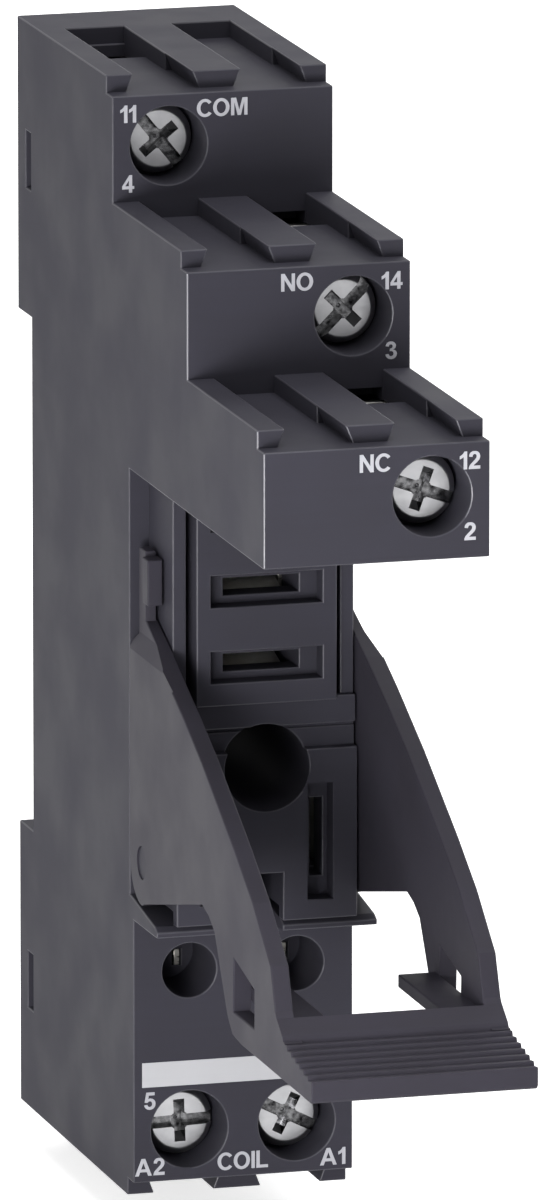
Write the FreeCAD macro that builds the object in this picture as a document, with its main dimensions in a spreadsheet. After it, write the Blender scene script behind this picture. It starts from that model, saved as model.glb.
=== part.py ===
import FreeCAD, Part
import Sketcher
import math
import os
import re
from dataclasses import dataclass

# Relay socket for a mounting rail, in millimetres.
# The origin is at the middle of the seat that lies on the rail.
# +Z is up, -Y is the front, +Y is the rail side.
# Lengths along Y are given as reach, the distance in front of the rail seat.

DOC = FreeCAD.newDocument("RelaySocket")
SHEET = DOC.addObject("Spreadsheet::Sheet", "Sizes")

SIZES = [
    # Moulding as a whole
    ("width", 15.5, "width of the socket"),
    ("rail_height", 35.0, "height of the mounting rail"),
    ("rail_play", 1.24, "free height left round the rail"),
    ("rail_lip", 1.0, "thickness of the rail's edge"),
    ("block_depth", 3.62, "how far the two hook blocks reach behind the seat"),
    ("upper_height", 20.51, "from the rail gap up to the top of the ribs"),
    ("lower_height", 19.97, "from the rail gap down to the foot of the ribs"),
    ("wall", 1.15, "side wall at the rear opening"),
    # Stepped terminal rows
    ("first_reach", 21.28, "front face of the top row"),
    ("row_step", 18.94, "how far each row stands in front of the one above"),
    ("row_pitch", 8.48, "height from one row to the next"),
    ("nose_height", 7.83, "front face of the lowest upper row"),
    ("rib_height", 1.2, "height of the dividing ribs"),
    ("rib_setback", 1.61, "rib ends stand this far behind the front face"),
    ("middle_rib", 3.4, "middle rib, at its top"),
    ("middle_root", 2.44, "middle rib, at its root"),
    ("side_rib", 1.9, "side rib, at its top"),
    ("side_root", 1.45, "side rib, at its root"),
    ("dovetail_length", 8.5, "undercut stretch of each channel"),
    ("channel_start", 2.09, "rear end of the first channels"),
    # Front below the relay bay
    ("lower_reach", 26.3, "front face with the coil terminals"),
    ("module_bore", 3.8, "diameter of the two module bores"),
    ("module_drop", 5.38, "module bores below the ledge's upper face at its root"),
    ("module_depth", 6.0, "depth of the module bores"),
    ("module_blade_shift", 0.75, "contact blade in a module bore, to the right of its middle"),
    ("module_blade_drop", 0.5, "contact blade in a module bore, below its middle"),
    ("module_blade_height", 1.1, "height of the contact blade in a module bore"),
    # Relay bay
    ("bay_reach", 25.4, "step where the arms of the lever sit"),
    ("arm_recess", 1.41, "depth of the side recesses for the arms"),
    ("bay_wall", 0.95, "thin wall beside the contact block"),
    ("bay_wall_reach", 31.4, "front edge of the thin wall"),
    ("gutter_depth", 3.0, "gap between the thin wall and the contact block, front to back"),
    ("block_reach", 32.32, "front face of the contact block"),
    ("block_width", 9.83, "width of the contact block"),
    ("block_foot", 2.6, "lower edge of the contact block under the rail's middle"),
    ("bar_top", 2.4, "upper edge of the cross bar under the contact block, under the rail's middle"),
    ("bar_foot", 4.3, "lower edge of the cross bar"),
    ("bar_reach", 31.9, "front face of the cross bar"),
    ("panel_top", 5.9, "upper edge of the coil panel under the rail's middle"),
    ("panel_strip", 1.35, "height of the stepped-back strip over the coil panel"),
    ("panel_strip_step", 0.8, "how far that strip stands behind the coil panel"),
    ("panel_reach", 32.4, "front face of the coil panel"),
    ("shelf_root", 16.85, "upper face of the ledge at its root, under the rail's middle"),
    ("shelf_tip", 17.72, "upper face of the ledge at its tip"),
    ("shelf_edge", 18.4, "lower edge of the ledge's tip"),
    ("shelf_round", 0.6, "rounded stretch of the ledge's tip"),
    ("shelf_under", 18.5, "lower face of the ledge at its root"),
    ("slot_width", 7.81, "width of a blade slot's mouth"),
    ("slot_height", 2.2, "height of a blade slot's mouth"),
    ("slot_pitch", 5.24, "from one blade slot to the next"),
    ("slot_level", 5.3, "middle slot above the rail's middle"),
    ("slot_throat", 5.3, "width of the slot behind its mouth"),
    ("throat_height", 1.2, "height of the slot behind its mouth"),
    ("throat_depth", 2.0, "length of that narrow throat"),
    ("slot_mouth", 1.5, "depth of the slot's mouth"),
    ("coil_slot_offset", 3.73, "coil slots either side of the middle"),
    ("coil_slot_width", 1.8, "width of a coil slot's mouth"),
    ("coil_slot_height", 8.04, "height of a coil slot's mouth"),
    ("coil_slot_level", 12.33, "middle of the coil slots under the rail's middle"),
    ("coil_throat_shift", 0.1, "narrow throat of a coil slot, outwards from its mouth's middle"),
    ("coil_throat_width", 0.87, "width of a coil slot's throat"),
    ("coil_throat_height", 5.4, "height of a coil slot's throat"),
    ("coil_throat_depth", 2.0, "length of a coil slot's throat"),
    ("fixing_bore", 5.94, "counterbore for a panel screw"),
    ("fixing_level", 7.08, "panel screw under the rail's middle"),
    ("fixing_hole", 3.4, "clearance hole for a panel screw"),
    ("fixing_floor", 6.0, "reach of the counterbore's floor"),
    ("key_width", 2.22, "key opening under the fixing bore"),
    ("key_top", 14.37, "upper edge of the key opening"),
    ("key_depth", 6.0, "depth of the key opening"),
    ("key_foot", 0.2, "key opening past the ledge's lower edge"),
    # Screw terminals
    ("terminal_offset", 3.79, "screws either side of the middle"),
    ("terminal_drop", 3.54, "screws below the channel floor"),
    ("screw_bore", 5.4, "bore over a screw head"),
    ("head_sink", 2.6, "screw head behind the front face"),
    ("head_height", 1.6, "screw head, outer rim to underside"),
    ("head_diameter", 4.9, "screw head"),
    ("head_chamfer", 0.45, "chamfer of the screw head"),
    ("drive_width", 0.88, "width of the head's slot and cross"),
    ("drive_depth", 0.9, "depth of the head's slot"),
    ("cross_depth", 1.1, "depth of the head's cross"),
    ("cross_share", 0.35, "half length of the cross arm, as a share of the head's diameter"),
    ("tip_chamfer", 0.4, "chamfer of the screw's tip"),
    ("screw_diameter", 3.0, "screw shank"),
    ("screw_play", 0.2, "screw shank in the housing, all round"),
    ("thread_play", 0.03, "screw shank in the cage, all round"),
    ("tip_gap", 0.35, "screw tip to strip"),
    ("seat_wall", 1.0, "wall under the screw head"),
    ("strip_sink", 13.72, "strip behind the front face"),
    ("wire_length", 4.42, "wire entry behind the strip"),
    ("entry_drop", 0.5, "wire entry past the channel floor"),
    ("cage_width", 5.5, "cage, across"),
    ("cage_height", 5.0, "cage, along the wire"),
    ("cage_sheet", 0.6, "side walls of the cage"),
    ("cage_floor", 0.8, "rear wall of the cage"),
    ("cage_nut", 1.8, "threaded front wall of the cage"),
    ("cage_travel", 4.2, "how far the cage rises"),
    ("cage_play", 0.1, "cage in its pocket, all round"),
    # Current-carrying parts
    ("strip_sheet", 0.8, "thickness of the strips"),
    ("strip_width", 2.8, "width of the strips"),
    ("strip_play", 0.1, "strip in its slot"),
    ("plate_below", 2.0, "foot of the plate behind a clip, under the slot's middle"),
    ("plate_above", 1.6, "end of the plate behind a clip, past the slot's middle"),
    ("neck_length", 3.0, "where the lowest row's strip narrows, in front of the strip that it passes"),
    ("clip_sheet", 0.4, "thickness of the clips"),
    ("clip_width", 4.2, "width of a clip"),
    ("clip_half", 1.2, "half the height of a clip at its web"),
    ("clip_pinch", 0.35, "half the gap at the pinch"),
    ("clip_length", 8.0, "length of a clip"),
    ("clip_flare", 0.05, "clip tips inside the outer face of the web"),
    ("clip_sink", 4.0, "tips of the contact clips behind the contact block's front"),
    ("coil_clip_sink", 4.5, "tips of the coil clips behind the coil panel's front"),
    ("coil_clip_width", 4.8, "width of a coil clip, along its slot"),
    # Rear cover and its hook
    ("cover_sheet", 1.4, "thickness of the rear cover at the rail seat"),
    ("cover_play", 0.08, "cover in the housing, all round"),
    ("cover_inset", 1.6, "edge of the cover from the end of the housing"),
    ("cover_wall", 1.2, "walls left round the hollows of the cover"),
    ("hook_overlap", 1.0, "hook behind the rail's edge"),
    ("hook_gap", 0.2, "hook to rail, front to back"),
    ("hook_depth", 2.1, "thickness of the hooks"),
    ("hook_width", 10.0, "width of the fixed hook"),
    ("hook_lead", 0.5, "lead-in slope of the fixed hook, up and down"),
    ("hook_flat", 0.6, "flat tip of the fixed hook, front to back"),
    ("snap_height", 4.0, "snap window, up and down"),
    ("snap_depth", 1.5, "snap window, front to back"),
    ("snap_level", 29.0, "upper snap window above the rail's middle"),
    ("snap_play", 0.12, "snap tab in its window"),
    ("snap_start", 0.1, "snap window behind the rail seat"),
    ("snap_inset", 0.4, "snap tab inside the housing's side"),
    # Sliding latch
    ("latch_width", 6.4, "latch between the guide lips"),
    ("latch_flange", 8.4, "latch under the guide lips"),
    ("latch_play", 0.1, "latch in its guide, all round"),
    ("latch_flange_depth", 1.1, "thickness of the latch's flanges"),
    ("latch_travel", 2.4, "how far the latch pulls down"),
    ("latch_pull", 2.5, "pull tab below the housing"),
    ("flange_drop", 0.3, "latch's flanges below the rail gap"),
    ("driver_slot", 3.0, "width of the slot for a screwdriver in the pull tab"),
    ("driver_slot_height", 1.0, "height of that slot"),
    ("driver_slot_edge", 0.7, "that slot above the pull tab's end"),
    ("spring_window", 7.5, "length of the compressed spring"),
    ("spring_diameter", 2.0, "latch spring, outside"),
    ("spring_wire", 0.36, "latch spring's wire"),
    ("spring_turns", 6.0, "coils of the latch spring"),
    ("spring_steps", 10.0, "straight lengths in each coil"),
    ("spring_sides", 6.0, "sides of the wire"),
    ("spring_clearance", 0.02, "spring to the rear cover"),
    ("spring_side_play", 0.15, "spring in the latch window, each side"),
    ("stop_height", 1.0, "fixed stop inside the latch window"),
    ("stop_drop", 6.0, "latch window's upper edge below the rail gap"),
    ("stop_inset", 0.3, "fixed stop in front of the latch's back"),
    # Retaining lever
    ("pivot_setout", 3.1, "lever pivot in front of the step behind the arms"),
    ("pivot_level", 14.0, "lever pivot under the rail's middle"),
    ("pivot_pin", 1.1, "radius of the pivot pins"),
    ("pivot_play", 0.05, "pin in the lever, all round"),
    ("pivot_inset", 0.1, "end of the pin inside the arm's outer face"),
    ("arm_sheet", 1.25, "thickness of the lever's arms"),
    ("arm_gap", 0.1, "arm to the step behind it"),
    ("arm_shoulder", 0.45, "how far the arms narrow towards their fingers"),
    ("arm_back_top", 0.8, "upper end of an arm's rear edge"),
    ("shoulder_foot", 0.3, "level where an arm starts to narrow"),
    ("shoulder_top", 1.6, "level from which it is narrow"),
    ("finger_top", 7.45, "top of the ejector fingers"),
    ("finger_root", 1.2, "foot of the fingers, inside the arms"),
    ("finger_gap", 1.0, "fingers to the step behind them"),
    ("finger_depth", 1.65, "fingers, front to back"),
    ("finger_sheet", 0.7, "thickness of the fingers"),
    ("nub_depth", 1.45, "nub in front of the left finger"),
    ("nub_foot", 3.95, "lower end of that nub"),
    ("nub_top", 7.1, "upper end of that nub"),
    ("nub_inset", 0.2, "outer face of the left finger's nub inside the arm's"),
    ("nub_width", 1.05, "width of that nub"),
    ("lever_reach", 70.8, "front edge of the finger tab"),
    ("tab_under", 20.8, "underside of the finger tab"),
    ("tab_back", 62.3, "rear edge of the finger tab"),
    ("groove_count", 7, "grip steps on the tab"),
    ("groove_pitch", 1.0, "from one grip step to the next"),
    ("groove_depth", 0.3, "depth of a grip step"),
    ("groove_fall", 0.17, "fall of the tab from one grip step to the next"),
    ("groove_slope", 0.15, "slope of a grip step"),
    ("tab_top", 18.05, "upper face of the finger tab under the rail's middle"),
    ("tab_nose", 19.25, "upper edge of the tab's front"),
    ("tab_chamfer", 0.25, "chamfer under the tab's front"),
    ("tab_root", 2.0, "how far the arms reach over the tab"),
    ("lug_width", 2.55, "inner shelf of each arm"),
]


def fill_sheet():
    """Write every driving size into the sheet, one row each, with its name as the alias."""
    for row, (name, value, meaning) in enumerate(SIZES, start=1):
        SHEET.set(f"A{row}", meaning)
        SHEET.set(f"B{row}", str(value))
        SHEET.setAlias(f"B{row}", name)
    DOC.recompute()


NAMES = re.compile(r"\b(" + "|".join(sorted((name for name, _, _ in SIZES), key=len, reverse=True)) + r")\b")


def number(text):
    """The value of a sum of sizes, worked out by the sheet."""
    return float(SHEET.evalExpression(str(text)))


def tied(text):
    """The same sum in the form that an object outside the sheet is bound with."""
    return NAMES.sub(r"Sizes.\1", str(text))


# Levels and outlines that several pieces share, as sums of the sizes above
HALF = "width / 2"
GAP = "(rail_height + rail_play) / 2"
TOP = f"({GAP} + upper_height)"
FOOT = f"(-{GAP} - lower_height)"
FLOOR_TOP = f"({TOP} - rib_height)"
FLOOR_FOOT = f"({FOOT} + rib_height)"
NOSE_UNDER = f"({FLOOR_TOP} - 2 * row_pitch - nose_height)"
INNER = f"({HALF} - arm_recess)"
COVER_HALF = f"({HALF} - wall - cover_play)"
COVER_TOP = f"({TOP} - cover_inset)"
COVER_FOOT = f"({FOOT} + cover_inset)"
POCKET_SINK = "(head_sink + head_height + seat_wall)"
CONTACT_WEB = "(block_reach - clip_sink - clip_length)"
COIL_WEB = "(panel_reach - coil_clip_sink - clip_length)"
COIL_AXIS = "(coil_slot_offset + coil_throat_shift)"
MODULE_LEVEL = "(-shelf_root - module_drop)"
PIVOT = "(bay_reach + pivot_setout)"
GUIDE_BACK = "(rail_lip + hook_gap)"


@dataclass(frozen=True)
class Terminal:
    """One screw terminal: its name, side, front face, screw level, wire side and screw angle."""

    name: str
    side: int
    reach: str
    level: str
    up: int
    turn: float

    @property
    def across(self):
        """Where its screw stands, left to right."""
        return f"({self.side} * terminal_offset)"

    @property
    def strip_front(self):
        """Front face of its strip."""
        return f"({self.reach} - strip_sink)"

    @property
    def strip_end(self):
        """Free end of its strip, level with the cage pocket's end."""
        return f"({self.level} + {self.up} * (cage_height / 2 + cage_play))"


def row_reach(row):
    """Front face of one upper row, counted from the top."""
    return f"(first_reach + {row} * row_step)"


def row_level(row):
    """Screw level of one upper row."""
    return f"({FLOOR_TOP} - {row} * row_pitch - terminal_drop)"


COIL_LEVEL = f"({FLOOR_FOOT} + terminal_drop)"
TERMINALS = [
    Terminal("com", -1, row_reach(0), row_level(0), 1, 32.0),
    Terminal("no", 1, row_reach(1), row_level(1), 1, 45.0),
    Terminal("nc", 1, row_reach(2), row_level(2), 1, 20.0),
    Terminal("a2", -1, "lower_reach", COIL_LEVEL, -1, 0.0),
    Terminal("a1", 1, "lower_reach", COIL_LEVEL, -1, 27.0),
]
COM, NO, NC, A2, A1 = TERMINALS


class Piece:
    """One moulded, stamped or turned piece: a body built from sketches on its own origin planes.

    A sketch on the front plane uses X and Z, one on the side plane Y and Z, one on the flat plane X and Y.
    Levels on the front plane are reach, so a larger one is further to the front.
    """

    ROLES = {"front": "XZ_Plane", "side": "YZ_Plane", "flat": "XY_Plane"}

    def __init__(self, label):
        self.label = label
        self.body = DOC.addObject("PartDesign::Body", label)
        self.body.Label = label

    def draw(self, plane, level, outlines, purpose):
        """Make a sketch of closed outlines at a level of one origin plane, every point tied to the sizes."""
        sketch = self.body.newObject("Sketcher::SketchObject", f"{self.label}_{purpose}_outline")
        support = [item for item in self.body.Origin.OriginFeatures if item.Role == self.ROLES[plane]]
        sketch.AttachmentSupport = (support[0], [""])
        sketch.MapMode = "FlatFace"
        sketch.setExpression("AttachmentOffset.Base.z", tied(level))
        rules = []
        for outline in outlines:
            if outline[0] == "circle":
                rules += self.circle_rules(sketch, *outline[1:])
            else:
                rules += self.outline_rules(sketch, outline)
        sketch.addConstraint([rule for rule, _ in rules])
        for index, (_, text) in enumerate(rules):
            if text is not None:
                sketch.setExpression(f"Constraints[{index}]", tied(text))
        return sketch

    @staticmethod
    def rule(kind, places, text):
        """One dimension and the sum of sizes that it follows."""
        return Sketcher.Constraint(kind, *places, number(text)), text

    def circle_rules(self, sketch, across, height, radius):
        """Draw a circle, and give the rules for its centre and radius."""
        centre = FreeCAD.Vector(number(across), number(height), 0)
        index = sketch.addGeometry(Part.Circle(centre, FreeCAD.Vector(0, 0, 1), number(radius)))
        return [self.rule("DistanceX", (-1, 1, index, 3), across),
                self.rule("DistanceY", (-1, 1, index, 3), height),
                self.rule("Radius", (index,), radius)]

    def outline_rules(self, sketch, corners):
        """Draw a closed outline, and give the rules for its corners.

        A corner's third value makes the side that leaves it an arc of that radius.
        """
        places = [FreeCAD.Vector(number(corner[0]), number(corner[1]), 0) for corner in corners]
        sides = []
        for step, corner in enumerate(corners):
            start = places[step]
            end = places[(step + 1) % len(corners)]
            if len(corner) == 2:
                sides.append(Part.LineSegment(start, end))
            else:
                sides.append(bulge(start, end, number(corner[2])))
        indexes = sketch.addGeometry(sides)
        rules = []
        for step, index in enumerate(indexes):
            follower = indexes[(step + 1) % len(indexes)]
            first, last = self.ends(corners, step)
            meeting = self.ends(corners, step + 1)[0]
            rules.append((Sketcher.Constraint("Coincident", index, last, follower, meeting), None))
            rules.append(self.rule("DistanceX", (-1, 1, index, first), corners[step][0]))
            rules.append(self.rule("DistanceY", (-1, 1, index, first), corners[step][1]))
            if len(corners[step]) == 3:
                rules.append(self.rule("Radius", (index,), corners[step][2].lstrip("-")))
        return rules

    @staticmethod
    def ends(corners, step):
        """The sketch's numbers for a side's first and last point; a clockwise arc runs from end to start."""
        corner = corners[step % len(corners)]
        if len(corner) == 3 and corner[2].startswith("-"):
            return 2, 1
        return 1, 2

    def add(self, plane, low, high, *outlines, purpose):
        """Fill the outlines between two levels."""
        sketch = self.draw(plane, low, outlines, purpose)
        pad = self.body.newObject("PartDesign::Pad", f"{self.label}_{purpose}")
        pad.Profile = sketch
        pad.Refine = False
        pad.setExpression("Length", tied(f"({high}) - ({low})"))
        return pad

    def cut(self, plane, low, high, *outlines, purpose):
        """Cut the outlines away between two levels."""
        sketch = self.draw(plane, high, outlines, purpose)
        pocket = self.body.newObject("PartDesign::Pocket", f"{self.label}_{purpose}")
        pocket.Profile = sketch
        pocket.Refine = False
        pocket.setExpression("Length", tied(f"({high}) - ({low})"))
        return pocket


class Cores:
    """The straight cores that shape the inside of a moulding, joined into one tool."""

    def __init__(self, label):
        self.label = label
        self.shapes = []

    def cut(self, low, high, *outlines, purpose):
        """Add one core for each rectangle or circle, between two reaches."""
        for index, outline in enumerate(outlines):
            if outline[0] == "circle":
                core = DOC.addObject("Part::Cylinder", f"{self.label}_{purpose}_{index}")
                _, across, height, radius = outline
                core.Placement = FreeCAD.Placement(FreeCAD.Vector(0, 0, 0),
                                                   FreeCAD.Rotation(FreeCAD.Vector(1, 0, 0), 90))
                sizes = {"Radius": radius, "Height": f"({high}) - ({low})"}
                corner = (across, f"-({low})", height)
            else:
                core = DOC.addObject("Part::Box", f"{self.label}_{purpose}_{index}")
                (left, bottom), (right, top) = outline[0], outline[2]
                sizes = {"Length": f"({right}) - ({left})", "Width": f"({high}) - ({low})",
                         "Height": f"({top}) - ({bottom})"}
                corner = (left, f"-({high})", bottom)
            for name, text in sizes.items():
                core.setExpression(name, tied(text))
            for axis, text in zip("xyz", corner):
                core.setExpression(f"Placement.Base.{axis}", tied(text))
            self.shapes.append(core)

    def cut_from(self, piece, label):
        """Take all the cores out of a piece."""
        tool = DOC.addObject("Part::MultiFuse", f"{self.label}_joined")
        tool.Shapes = self.shapes
        result = DOC.addObject("Part::Cut", label)
        result.Label = label
        result.Base = piece.body
        result.Tool = tool
        return result


def bulge(start, end, radius):
    """The arc of a given radius between two points: counterclockwise for a positive radius."""
    chord = end - start
    middle = (start + end) * 0.5
    sideways = FreeCAD.Vector(-chord.y, chord.x, 0).normalize()
    depth = (radius ** 2 - (chord.Length / 2) ** 2) ** 0.5
    turn = 1 if radius > 0 else -1
    centre = middle + sideways * depth * turn
    outward = (middle - centre).normalize()
    return Part.Arc(start, centre + outward * abs(radius), end)


def box(left, right, low, high):
    """A rectangular outline."""
    return [(left, low), (right, low), (right, high), (left, high)]


def mirrored(outlines):
    """The same outlines with their mirror images across the middle, which start at the left too."""
    flipped = []
    for outline in outlines:
        turned = [outline[1], outline[0]] + outline[:1:-1]
        flipped.append([(f"-({corner[0]})", corner[1]) for corner in turned])
    return list(outlines) + flipped


def at(reach, level):
    """A corner on the side plane, given by its reach and its level."""
    return (f"-({reach})", level)


# Housing


def stepped_outline():
    """Side view of the housing: three rows, the relay bay, the ledge and the coil terminals."""
    corners = [at("-block_depth", TOP)]
    for row in range(3):
        top = f"({TOP} - {row} * row_pitch)"
        face = row_reach(row)
        corners += [at(f"{face} - rib_setback", top), at(f"{face} - rib_setback", f"{top} - rib_height")]
        corners += [at(face, f"{top} - rib_height")]
        if row < 2:
            corners += [at(face, f"{top} - row_pitch")]
    corners += [at(row_reach(2), NOSE_UNDER), at("bay_reach", NOSE_UNDER), at("bay_reach", "-shelf_root")]
    corners += [at("panel_reach - shelf_round", "-shelf_tip"), at("panel_reach", "-shelf_tip - shelf_round / 2")]
    corners += [at("panel_reach", "-shelf_edge"), at("lower_reach", "-shelf_under")]
    corners += [at("lower_reach", FLOOR_FOOT), at("lower_reach - rib_setback", FLOOR_FOOT)]
    corners += [at("lower_reach - rib_setback", FOOT), at("-block_depth", FOOT), at("-block_depth", f"-{GAP}")]
    corners += [at("0", f"-{GAP}"), at("0", GAP), at("-block_depth", GAP)]
    return corners


def add_bay(housing):
    """The contact block, the thin walls beside it, the coil panel and the pivot pins."""
    housing.add("front", "bay_reach", "bay_wall_reach", box(f"-{INNER}", INNER, "-shelf_root", NOSE_UNDER),
                purpose="bay_back")
    housing.add("front", "bay_wall_reach", "block_reach",
                box("-block_width / 2", "block_width / 2", "-block_foot", NOSE_UNDER), purpose="contact_block")
    housing.add("front", "bay_wall_reach", "bar_reach", box(f"-{INNER}", INNER, "-bar_foot", "-bar_top"),
                purpose="cross_bar")
    housing.add("front", "bay_wall_reach", "panel_reach - panel_strip_step",
                box(f"-{INNER}", INNER, "-panel_top", "-panel_top + panel_strip"), purpose="panel_strip")
    housing.add("front", "bay_wall_reach", "panel_reach", box(f"-{INNER}", INNER, "-shelf_tip", "-panel_top"),
                purpose="coil_panel")
    gutter = box(f"{INNER} - bay_wall", "block_width / 2", "-bar_top", NOSE_UNDER)
    housing.cut("front", "bay_wall_reach - gutter_depth", "bay_wall_reach", *mirrored([gutter]),
                purpose="gutters")
    pin = ("circle", f"-{PIVOT}", "-pivot_level", "pivot_pin")
    housing.add("side", INNER, f"{HALF} - pivot_inset", pin, purpose="right_pin")
    housing.add("side", f"-{HALF} + pivot_inset", f"-{INNER}", pin, purpose="left_pin")


def cut_channels(housing):
    """The wire channels: straight at the back, undercut towards the front, two to each row and two below."""
    straight = ("middle_rib / 2", f"({HALF} - side_rib)")
    root = ("middle_root / 2", f"({HALF} - side_root)")
    for row in range(3):
        top = f"({TOP} - {row} * row_pitch)"
        face = row_reach(row)
        back = "channel_start" if row == 0 else row_reach(row - 1)
        cut_channel_pair(housing, back, face, top, f"({top} - rib_height)", straight, root, f"row{row + 1}")
    cut_channel_pair(housing, "channel_start", "lower_reach", FOOT, FLOOR_FOOT, straight, root, "foot")


def cut_channel_pair(housing, back, face, edge, floor, straight, root, name):
    """One row's two channels, cut from the front face back."""
    low, high = (edge, floor) if name == "foot" else (floor, edge)
    plain = box(straight[0], straight[1], low, high)
    housing.cut("front", back, face, *mirrored([plain]), purpose=f"{name}_channels")
    undercut = [(root[0], floor), (root[1], floor), (straight[1], edge), (straight[0], edge)]
    housing.cut("front", f"{face} - dovetail_length", face, *mirrored([undercut]), purpose=f"{name}_dovetails")


def cut_rear(housing):
    """The opening for the rear cover, the snap windows and the way out for the latch."""
    half = f"({COVER_HALF} + cover_play)"
    opening = box(f"-{half}", half, f"{COVER_FOOT} - cover_play", f"{COVER_TOP} + cover_play")
    housing.cut("front", "-block_depth - 1", "cover_sheet", opening, purpose="rear_opening")
    windows = [box(f"-{HALF} - 1", f"{HALF} + 1", f"{level} - snap_height / 2", f"{level} + snap_height / 2")
               for level in ("snap_level", "-snap_level")]
    housing.cut("front", "-snap_start - snap_depth", "-snap_start", *windows, purpose="snap_windows")
    guide = "(latch_flange / 2 + latch_play)"
    way = box(f"-{guide}", guide, f"{FOOT} - 1", f"{COVER_FOOT} + 1")
    housing.cut("front", "-block_depth - 1", f"-{GUIDE_BACK} + latch_play", way, purpose="latch_way")


def cut_terminal(cores, place):
    """The screw bore, the cage pocket and the wire entry of one terminal."""
    name = place.name
    cores.cut(f"{place.reach} - head_sink - head_height", place.reach,
                ("circle", place.across, place.level, "screw_bore / 2"), purpose=f"{name}_bore")
    cores.cut(f"{place.reach} - {POCKET_SINK}", f"{place.reach} - head_sink",
                ("circle", place.across, place.level, "screw_diameter / 2 + screw_play"), purpose=f"{name}_shank")
    half = "(cage_width / 2 + cage_play)"
    tall = "(cage_height / 2 + cage_play)"
    pocket = box(f"{place.across} - {half}", f"{place.across} + {half}",
                 f"{place.level} - {tall}", f"{place.level} + {tall}")
    cores.cut("cover_sheet", f"{place.reach} - {POCKET_SINK}", pocket, purpose=f"{name}_pocket")
    inner, outer = "middle_rib / 2", f"({HALF} - side_rib)"
    sides = (inner, outer) if place.side > 0 else (f"-{outer}", f"-{inner}")
    floor = f"({place.level} + {place.up} * (terminal_drop + entry_drop))"
    span = (place.level, floor) if place.up > 0 else (floor, place.level)
    entry = box(sides[0], sides[1], *span)
    cores.cut(f"{place.strip_front} - strip_sheet - wire_length", place.strip_front,
              entry, purpose=f"{name}_wire_entry")


def cut_slots(cores):
    """The blade slots of the contact block and the coil panel, with room behind them for the clips."""
    room_half = "(clip_half + strip_play)"
    for row in range(3):
        level = slot_level(row)
        mouth = box("-slot_width / 2", "slot_width / 2",
                    f"{level} - slot_height / 2", f"{level} + slot_height / 2")
        cores.cut("block_reach - slot_mouth", "block_reach", mouth, purpose=f"slot{row + 1}_mouth")
        throat = box("-slot_throat / 2", "slot_throat / 2",
                     f"{level} - throat_height / 2", f"{level} + throat_height / 2")
        cores.cut("block_reach - slot_mouth - throat_depth", "block_reach - slot_mouth", throat,
                  purpose=f"slot{row + 1}_throat")
        room = box("-slot_throat / 2", "slot_throat / 2", f"{level} - {room_half}", f"{level} + {room_half}")
        cores.cut(CONTACT_WEB, "block_reach - slot_mouth - throat_depth", room, purpose=f"slot{row + 1}_room")
    mouths = [box("coil_slot_offset - coil_slot_width / 2", "coil_slot_offset + coil_slot_width / 2",
                  "-coil_slot_level - coil_slot_height / 2", "-coil_slot_level + coil_slot_height / 2")]
    cores.cut("panel_reach - slot_mouth", "panel_reach", *mirrored(mouths), purpose="coil_slot_mouths")
    throats = [box(f"{COIL_AXIS} - coil_throat_width / 2", f"{COIL_AXIS} + coil_throat_width / 2",
                   "-coil_slot_level - coil_throat_height / 2", "-coil_slot_level + coil_throat_height / 2")]
    room_front = "panel_reach - slot_mouth - coil_throat_depth"
    cores.cut(room_front, "panel_reach - slot_mouth", *mirrored(throats), purpose="coil_slot_throats")
    rooms = [box(f"{COIL_AXIS} - {room_half}", f"{COIL_AXIS} + {room_half}",
                 "-coil_slot_level - coil_clip_width / 2 - strip_play",
                 "-coil_slot_level + coil_clip_width / 2 + strip_play")]
    cores.cut(COIL_WEB, room_front, *mirrored(rooms), purpose="coil_clip_rooms")


def slot_level(row):
    """Middle of one blade slot, counted from the top."""
    return f"(slot_level + {1 - row} * slot_pitch)"


def cut_bores(cores):
    """The panel screw's counterbore and hole, the key opening and the two module bores."""
    counterbore = ("circle", "0", "-fixing_level", "fixing_bore / 2")
    cores.cut("fixing_floor", "panel_reach", counterbore, purpose="fixing_counterbore")
    cores.cut("0", "fixing_floor", ("circle", "0", "-fixing_level", "fixing_hole / 2"),
                purpose="fixing_hole")
    key = box("-key_width / 2", "key_width / 2", "-shelf_edge - key_foot", "-key_top")
    cores.cut("panel_reach - key_depth", "panel_reach", key, purpose="key_opening")
    bores = [("circle", f"{side} * terminal_offset", MODULE_LEVEL, "module_bore / 2") for side in (-1, 1)]
    cores.cut("lower_reach - module_depth", "lower_reach", *bores, purpose="module_bores")


def make_housing():
    """The front moulding: its outside as one body, its inside as cores taken out of it."""
    moulding = Piece("moulding")
    moulding.add("side", f"-{HALF}", HALF, stepped_outline(), purpose="steps")
    add_bay(moulding)
    cut_channels(moulding)
    cut_rear(moulding)
    cores = Cores("core")
    for place in TERMINALS:
        cut_terminal(cores, place)
    cut_slots(cores)
    cut_bores(cores)
    for strip in STRIPS:
        strip.cut_room(cores)
    return cores.cut_from(moulding, "housing")


# Current-carrying parts


class Strip:
    """One bent strip from a terminal to the web of its clip: side outline, widths and the room it needs."""

    def __init__(self, place, runs):
        self.place = place
        self.runs = runs

    def make(self):
        """Bend the strip from its straight runs."""
        piece = Piece(f"strip_{self.place.name}")
        for name, run in self.runs:
            low, high, left, right, bottom, top = run
            piece.add("front", low, high, box(left, right, bottom, top), purpose=name)
        return piece

    def cut_room(self, cores):
        """Cut the slots that take the strip, each open to the back."""
        for name, run in self.runs:
            low, high, left, right, bottom, top = run
            room = box(f"{left} - strip_play", f"{right} + strip_play", bottom, top)
            cores.cut("cover_sheet", high, room, purpose=f"{self.place.name}_{name}_room")


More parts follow.
